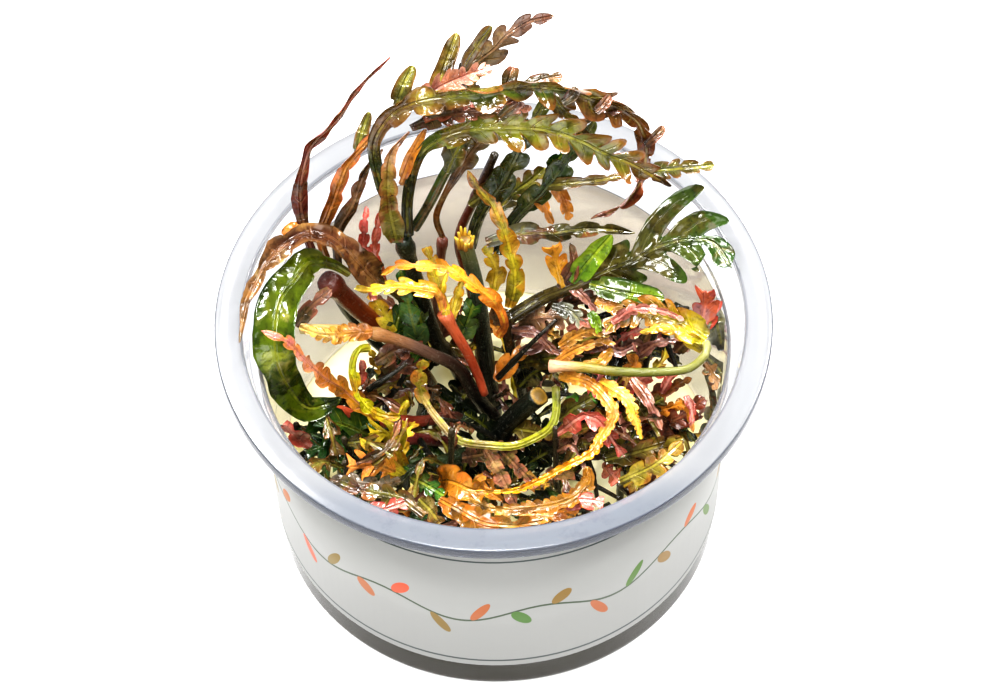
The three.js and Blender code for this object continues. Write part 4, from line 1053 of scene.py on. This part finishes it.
scatter("leaf_yellow", [[(-17, 3, 23), (-20, 9, 28), (-23, 13, 33)]], [
    ([(447, 316, 52), (442, 294, 56), (446, 271, 60)], 2.0, 3),
    ([(452, 318, 50), (457, 296, 54), (464, 276, 58)], 2.0, 3),
    ([(494, 290, 48), (496, 268, 52), (484, 246, 56)], 4, 3),
    ([(440, 290, 46), (432, 264, 50), (426, 247, 53)], 3.4, 3),
    ([(396, 330, 40), (382, 310, 44), (371, 291, 47)], 4, 3),
    ([(404, 470, 32), (398, 450, 37), (393, 430, 41)], 2.6, 3),
    ([(404, 474, 32), (378, 458, 38), (360, 438, 43)], 2.6, 3),
    ([(702, 350, 54), (684, 336, 57), (662, 328, 58), (640, 332, 57)], 2.6, 5),
    ([(620, 392, 42), (628, 404, 41), (630, 422, 39)], 1.5, 3, dict(tints="8ca020 b4cc30 d0dc48")),
    ([(612, 350, 44), (598, 362, 44), (576, 366, 44)], 2.0, 4, OCHRE),
])
scatter("leaf_orange", [], [
    ([(372, 331, 49), (348, 333, 50), (322, 334, 51), (299, 327, 52)], 3.2, 10,
     dict(rib=0.6, fill=1.0, crumple=1.0, wave=1.2, stalk=0.05, tints="c07c34 d0a850 dcc070")),
    ([(401, 184, 77), (411, 158, 82), (426, 129, 87)], 2, 1, FINGER),
    ([(552, 180, 68), (562, 198, 65), (569, 220, 61)], 2.6, 3),
    ([(532, 190, 66), (543, 206, 63), (553, 224, 60)], 2.2, 2),
    ([(496, 380, 31), (508, 364, 34), (524, 350, 37)], 4.2, 2, dict(fill=0.98)),
    ([(560, 346, 43), (576, 336, 46), (592, 331, 48), (610, 336, 48)], 2.4, 5, OCHRE),
    ([(556, 362, 41), (576, 350, 44), (598, 342, 46), (616, 344, 46)], 2.0, 5, OCHRE),
    ([(624, 372, 43), (634, 364, 45), (630, 354, 47)], 2.6, 2),
    ([(640, 420, 36), (664, 410, 39), (690, 402, 42)], 2.6, 5),
    ([(678, 400, 40), (688, 412, 41), (693, 432, 41)], 1.6, 3),
    ([(304, 222, 64), (286, 237, 64), (269, 254, 63)], 3.4, 3),
    ([(440, 500, 42), (462, 512, 44), (488, 520, 45)], 4, 3),
    ([(520, 515, 44), (556, 512, 46), (590, 500, 46)], 4, 4),
])
scatter("leaf_green",
        [[(-11, 2, 18), (-16, -4, 22), (-23, -11, 27), (-29, -15, 31)],
         [(-9, 15, 29), (-14, 11, 34), (-20, 9, 40)]], [
    ([(458, 342, 38), (468, 320, 42), (475, 299, 46)], 4.6, 2, dict(fill=0.98)),
    ([(548, 172, 70), (558, 160, 73), (571, 147, 76)], 3, 2),
    ([(572, 282, 54), (590, 260, 58), (612, 235, 63)], 4.6, 1, FINGER | LIME),
    ([(590, 284, 54), (624, 293, 55), (664, 299, 55)], 5.4, 1, FINGER | dict(tints="3a4c16 5c7420 748c30")),
    ([(590, 312, 51), (596, 322, 50), (600, 332, 49)], 2.2, 2, LIME),
    ([(566, 400, 36), (580, 404, 37), (594, 398, 39)], 4.2, 3, dict(tints="24441a 4c8028 5c9430")),
    ([(620, 350, 42), (612, 372, 40), (616, 392, 38)], 3.0, 3, DARK),
    ([(560, 380, 34), (580, 372, 37), (600, 374, 38)], 3.0, 4, DARK),
    ([(392, 350, 36), (398, 320, 42), (408, 290, 48)], 4.6, 3),
    ([(424, 330, 40), (414, 300, 46), (400, 270, 52)], 4, 3),
    ([(412, 478, 36), (428, 486, 38), (444, 496, 39)], 4, 3),
    # Wide near-black leaves low in the cup: painted shade in the gaps between the shoots.
    ([(470, 392, 16), (452, 402, 18), (430, 404, 20)], 8, 4, DARK),
    ([(516, 432, 16), (536, 438, 18), (556, 430, 20)], 8, 4, DARK),
    ([(502, 442, 20), (484, 426, 23), (464, 412, 26)], 5, 3, DARK),
    ([(528, 464, 20), (548, 452, 23), (568, 446, 26)], 5, 3, DARK),
    ([(520, 386, 26), (532, 374, 29), (548, 366, 32)], 4.6, 3, DARK),
    ([(500, 452, 16), (516, 470, 18), (536, 480, 20)], 8, 4, DARK),
    ([(470, 452, 16), (462, 474, 18), (452, 494, 20)], 8, 4, DARK),
    ([(380, 440, 28), (345, 425, 33), (308, 420, 38)], 7, 3),
])

# Young shoots
# Under the long stems stands a thicket of young shoots. Each is a thin dark stem rooted in the gel, with
# pairs of small lobed leaves at its joints. Areas of the picture that show bare gel or wall are kept open.
# Their measures are in millimetres, and their places and rows are pixels of the picture.
SHOOT_COUNT = 52
SHOOT_REACH = 35
SHOOT_TURN = 2.4
ROOT_HEIGHT = 8
CENTRE = (-24, -12, 14, 20)
CENTRE_CEILING = 20.0
CEILING = 44.0
ROWS_FREE = 195
ROWS_BACK = 4.5
ROWS_UP = 3.06
HEADROOM = 4
LOWEST_TOP = 15.0
LOWEST_LEAF = 14
OPEN_PLACES = [(290, 300, 352, 402), (590, 466, 624, 500), (664, 374, 702, 412), (384, 384, 402, 412)]
STEM_PLACES = [(424, 440, 560, 470), (478, 380, 548, 440)]
LOW_TIP = 19
HIGHEST_ROW = 288


def inside(area, x, y):
    left, low, right, high = area
    return left < x < right and low < y < high


def shoot_colours(x, y):
    """How often each colour of leaf grows at a pixel."""
    if x < 400:
        return dict(leaf_green=6, leaf_olive=3, leaf_brown=2)
    if y > 460:
        return dict(leaf_orange=2, leaf_brown=4, leaf_olive=5, leaf_yellow=1, leaf_green=3)
    if x < 500:
        return dict(leaf_olive=3, leaf_brown=2, leaf_green=3, leaf_yellow=1)
    return dict(leaf_brown=5, leaf_olive=4, leaf_pink=2, leaf_green=1, leaf_orange=1, leaf_yellow=1)


SHOOT_SHADES = {"leaf_olive": DARK, "leaf_brown": MAUVE, "leaf_pink": CREAM_PINK, "leaf_green": DARK,
                "leaf_yellow": OCHRE, "leaf_orange": OCHRE}
dice = random.Random(7)
shoot_stems = bmesh.new()
shoot_leaves = {slot: bmesh.new() for slot in SHADES}
for shoot in range(SHOOT_COUNT):
    turn = shoot * SHOOT_TURN
    reach = SHOOT_REACH * math.sqrt((shoot + 0.5) / SHOOT_COUNT)
    foot = Vector((reach * math.cos(turn), reach * math.sin(turn), ROOT_HEIGHT))
    top = foot + Vector((dice.uniform(-6, 6), dice.uniform(-6, 4), 0))
    central = inside(CENTRE, top.x, top.y)
    free_above = (ROWS_FREE - ROWS_BACK * top.y) / ROWS_UP - HEADROOM
    ceiling = min(CENTRE_CEILING if central else CEILING, free_above)
    top.z = max(LOWEST_TOP, ceiling * dice.uniform(0.6, 1.0))
    middle = (foot + top) / 2 + Vector((dice.uniform(-3, 3), dice.uniform(-3, 3), 0))
    stalk = add_stem(shoot_stems, [foot, middle, top], 1.4, 1.0, "0e0f0c 141611 22231a 3a3222",
                     (0.35, 0.65, 0.95), sides=8)
    for joint in (0.65, 0.95) if central else (0.4, 0.55, 0.7, 0.83, 0.95):
        heading = dice.uniform(0, math.tau)
        for hand in (0, math.pi):
            number = next(numbers)
            angle = heading + hand + dice.uniform(-0.4, 0.4)
            length = dice.uniform(7, 16)
            out = Vector((math.cos(angle), math.sin(angle), 0)) * length
            start = stalk.at(joint * stalk.length)[0] / MM
            rise = Vector((0, 0, length * dice.uniform(0.1, 0.6)))
            tip = start + out + rise * dice.uniform(-0.4, 1.2)
            spot = pixel(tip)
            slots = shoot_colours(*spot)
            slot = dice.choices(list(slots), list(slots.values()))[0]
            width = dice.uniform(2.2, 4.2)
            lobes = dice.choice((3, 4))
            middle = start + out * 0.5 + rise * 1.2
            if dice.random() < (0.65 if spot[0] > 500 else 0.4):
                width = dice.uniform(1.2, 2.2)
                middle += Vector((-out.y, out.x, 0)) * dice.uniform(-0.35, 0.35)
            closed = OPEN_PLACES + (STEM_PLACES if tip.z > LOW_TIP else [])
            hidden = any(inside(area, *place) for area in closed for place in (spot, pixel(middle)))
            shaded = dice.random() < 0.6 and (spot[0] > 500 or slot == "leaf_green")
            shade = SHOOT_SHADES[slot] if shaded else {}
            if not hidden and spot[1] > HIGHEST_ROW and tip.z > LOWEST_LEAF:
                small_leaf(shoot_leaves[slot], slot, number, [start, middle, tip], width, lobes, fill=0.72,
                           columns=2, lobe_rows=3, stalk=dice.uniform(0.1, 0.3), stalk_width=0.5, rib=0.3,
                           **shade)
TWIGS = [
    [(498, 378, 34), (521, 354, 40), (541, 334, 45), (556, 320, 47)],
    [(368, 390, 38), (388, 377, 41), (406, 364, 43)],
    [(586, 306, 46), (622, 296, 48), (662, 302, 48)],
    [(596, 318, 44), (640, 305, 46), (688, 308, 46)],
    [(560, 380, 32), (590, 366, 36), (628, 360, 40)],
    [(540, 432, 26), (582, 420, 30), (626, 425, 33)],
    [(620, 440, 30), (650, 452, 32), (676, 468, 33)],
    [(562, 470, 28), (596, 486, 31), (620, 499, 33)],
    [(588, 462, 30), (594, 481, 31), (598, 502, 33)],
    [(420, 440, 26), (440, 470, 28), (470, 500, 31)],
    [(664, 328, 50), (668, 346, 46), (678, 372, 42)],
    [(384, 402, 30), (398, 386, 34), (412, 362, 38)],
    [(500, 440, 22), (470, 425, 27), (440, 418, 31)],
    [(528, 400, 30), (560, 394, 33), (592, 400, 35)],
]
for twig in TWIGS:
    route = [seen(*place) for place in twig]
    add_stem(shoot_stems, route, 1.3, 0.7, "0c0e0b 141611 1c1c14 2e2618", (0.3,), sides=8)
keep(shoot_stems, "shoot_stems", stem_skin)
for slot, bm in shoot_leaves.items():
    keep(bm, "shoot_" + slot, LEAF_SKINS["leaf_shoot" if slot == "leaf_green" else slot])

# Studio
# A plain white table, soft light from a panel overhead and smaller ones at the sides, and a ring of small
# lamps that the wet leaves mirror as points of light.
FLOOR_SIZE = 3.0
table = bpy.data.meshes.new("table")
bm = bmesh.new()
bmesh.ops.create_grid(bm, x_segments=1, y_segments=1, size=FLOOR_SIZE / 2)
bm.to_mesh(table)
bm.free()
table_finish = Finish("table_white")
table.materials.append(table_finish.surface(
    Base_Color=colour("989898"), Roughness=0.8, Specular_IOR_Level=0.2, Emission_Color=(1, 1, 1, 1),
    Emission_Strength=0.66))
table_top = bpy.data.objects.new("table_top", table)
bpy.context.collection.objects.link(table_top)


def panel(name, place, target, size, power):
    """A square soft light that faces a point."""
    lamp = bpy.data.lights.new(name, "AREA")
    lamp.size = size
    lamp.energy = power
    holder = bpy.data.objects.new(name, lamp)
    holder.location = place
    holder.rotation_euler = (Vector(target) - Vector(place)).to_track_quat("-Z", "Y").to_euler()
    bpy.context.collection.objects.link(holder)


panel("overhead_panel", (-0.05, 0.08, 1.2), (0, 0, 0), 0.28, 13)
panel("sparkle", (-0.35, 0.55, 1.1), (0, 0, 0.05), 0.16, 10)
panel("right_sparkle", (0.45, 0.6, 1.0), (0, 0, 0.05), 0.1, 3)
panel("right_panel", (0.8, 0.3, 0.8), (0, 0, 0.05), 0.25, 5)
RING_LAMPS = 10
RING_HEIGHT = 1.05
RING_POWER = 1.65
for i in range(RING_LAMPS):
    turn = math.tau * i / RING_LAMPS
    place = (0.75 * math.cos(turn), 0.25 + 0.65 * math.sin(turn), RING_HEIGHT)
    panel("ring_lamp_%d" % i, place, (0, 0, 0.06), 0.1, RING_POWER)
panel("front_left_panel", (-0.6, -0.5, 0.8), (0, 0, 0.05), 0.25, 3)
panel("front_panel", (0.1, -0.9, 0.35), (0, 0, 0.03), 0.6, 2.5)
world = bpy.data.worlds.new("studio")
world.use_nodes = True
world.node_tree.nodes["Background"].inputs["Color"].default_value = (1, 1, 1, 1)
world.node_tree.nodes["Background"].inputs["Strength"].default_value = 0.2
bpy.context.scene.world = world
bpy.context.scene.view_settings.view_transform = "Standard"
bpy.context.scene.view_settings.look = "High Contrast"
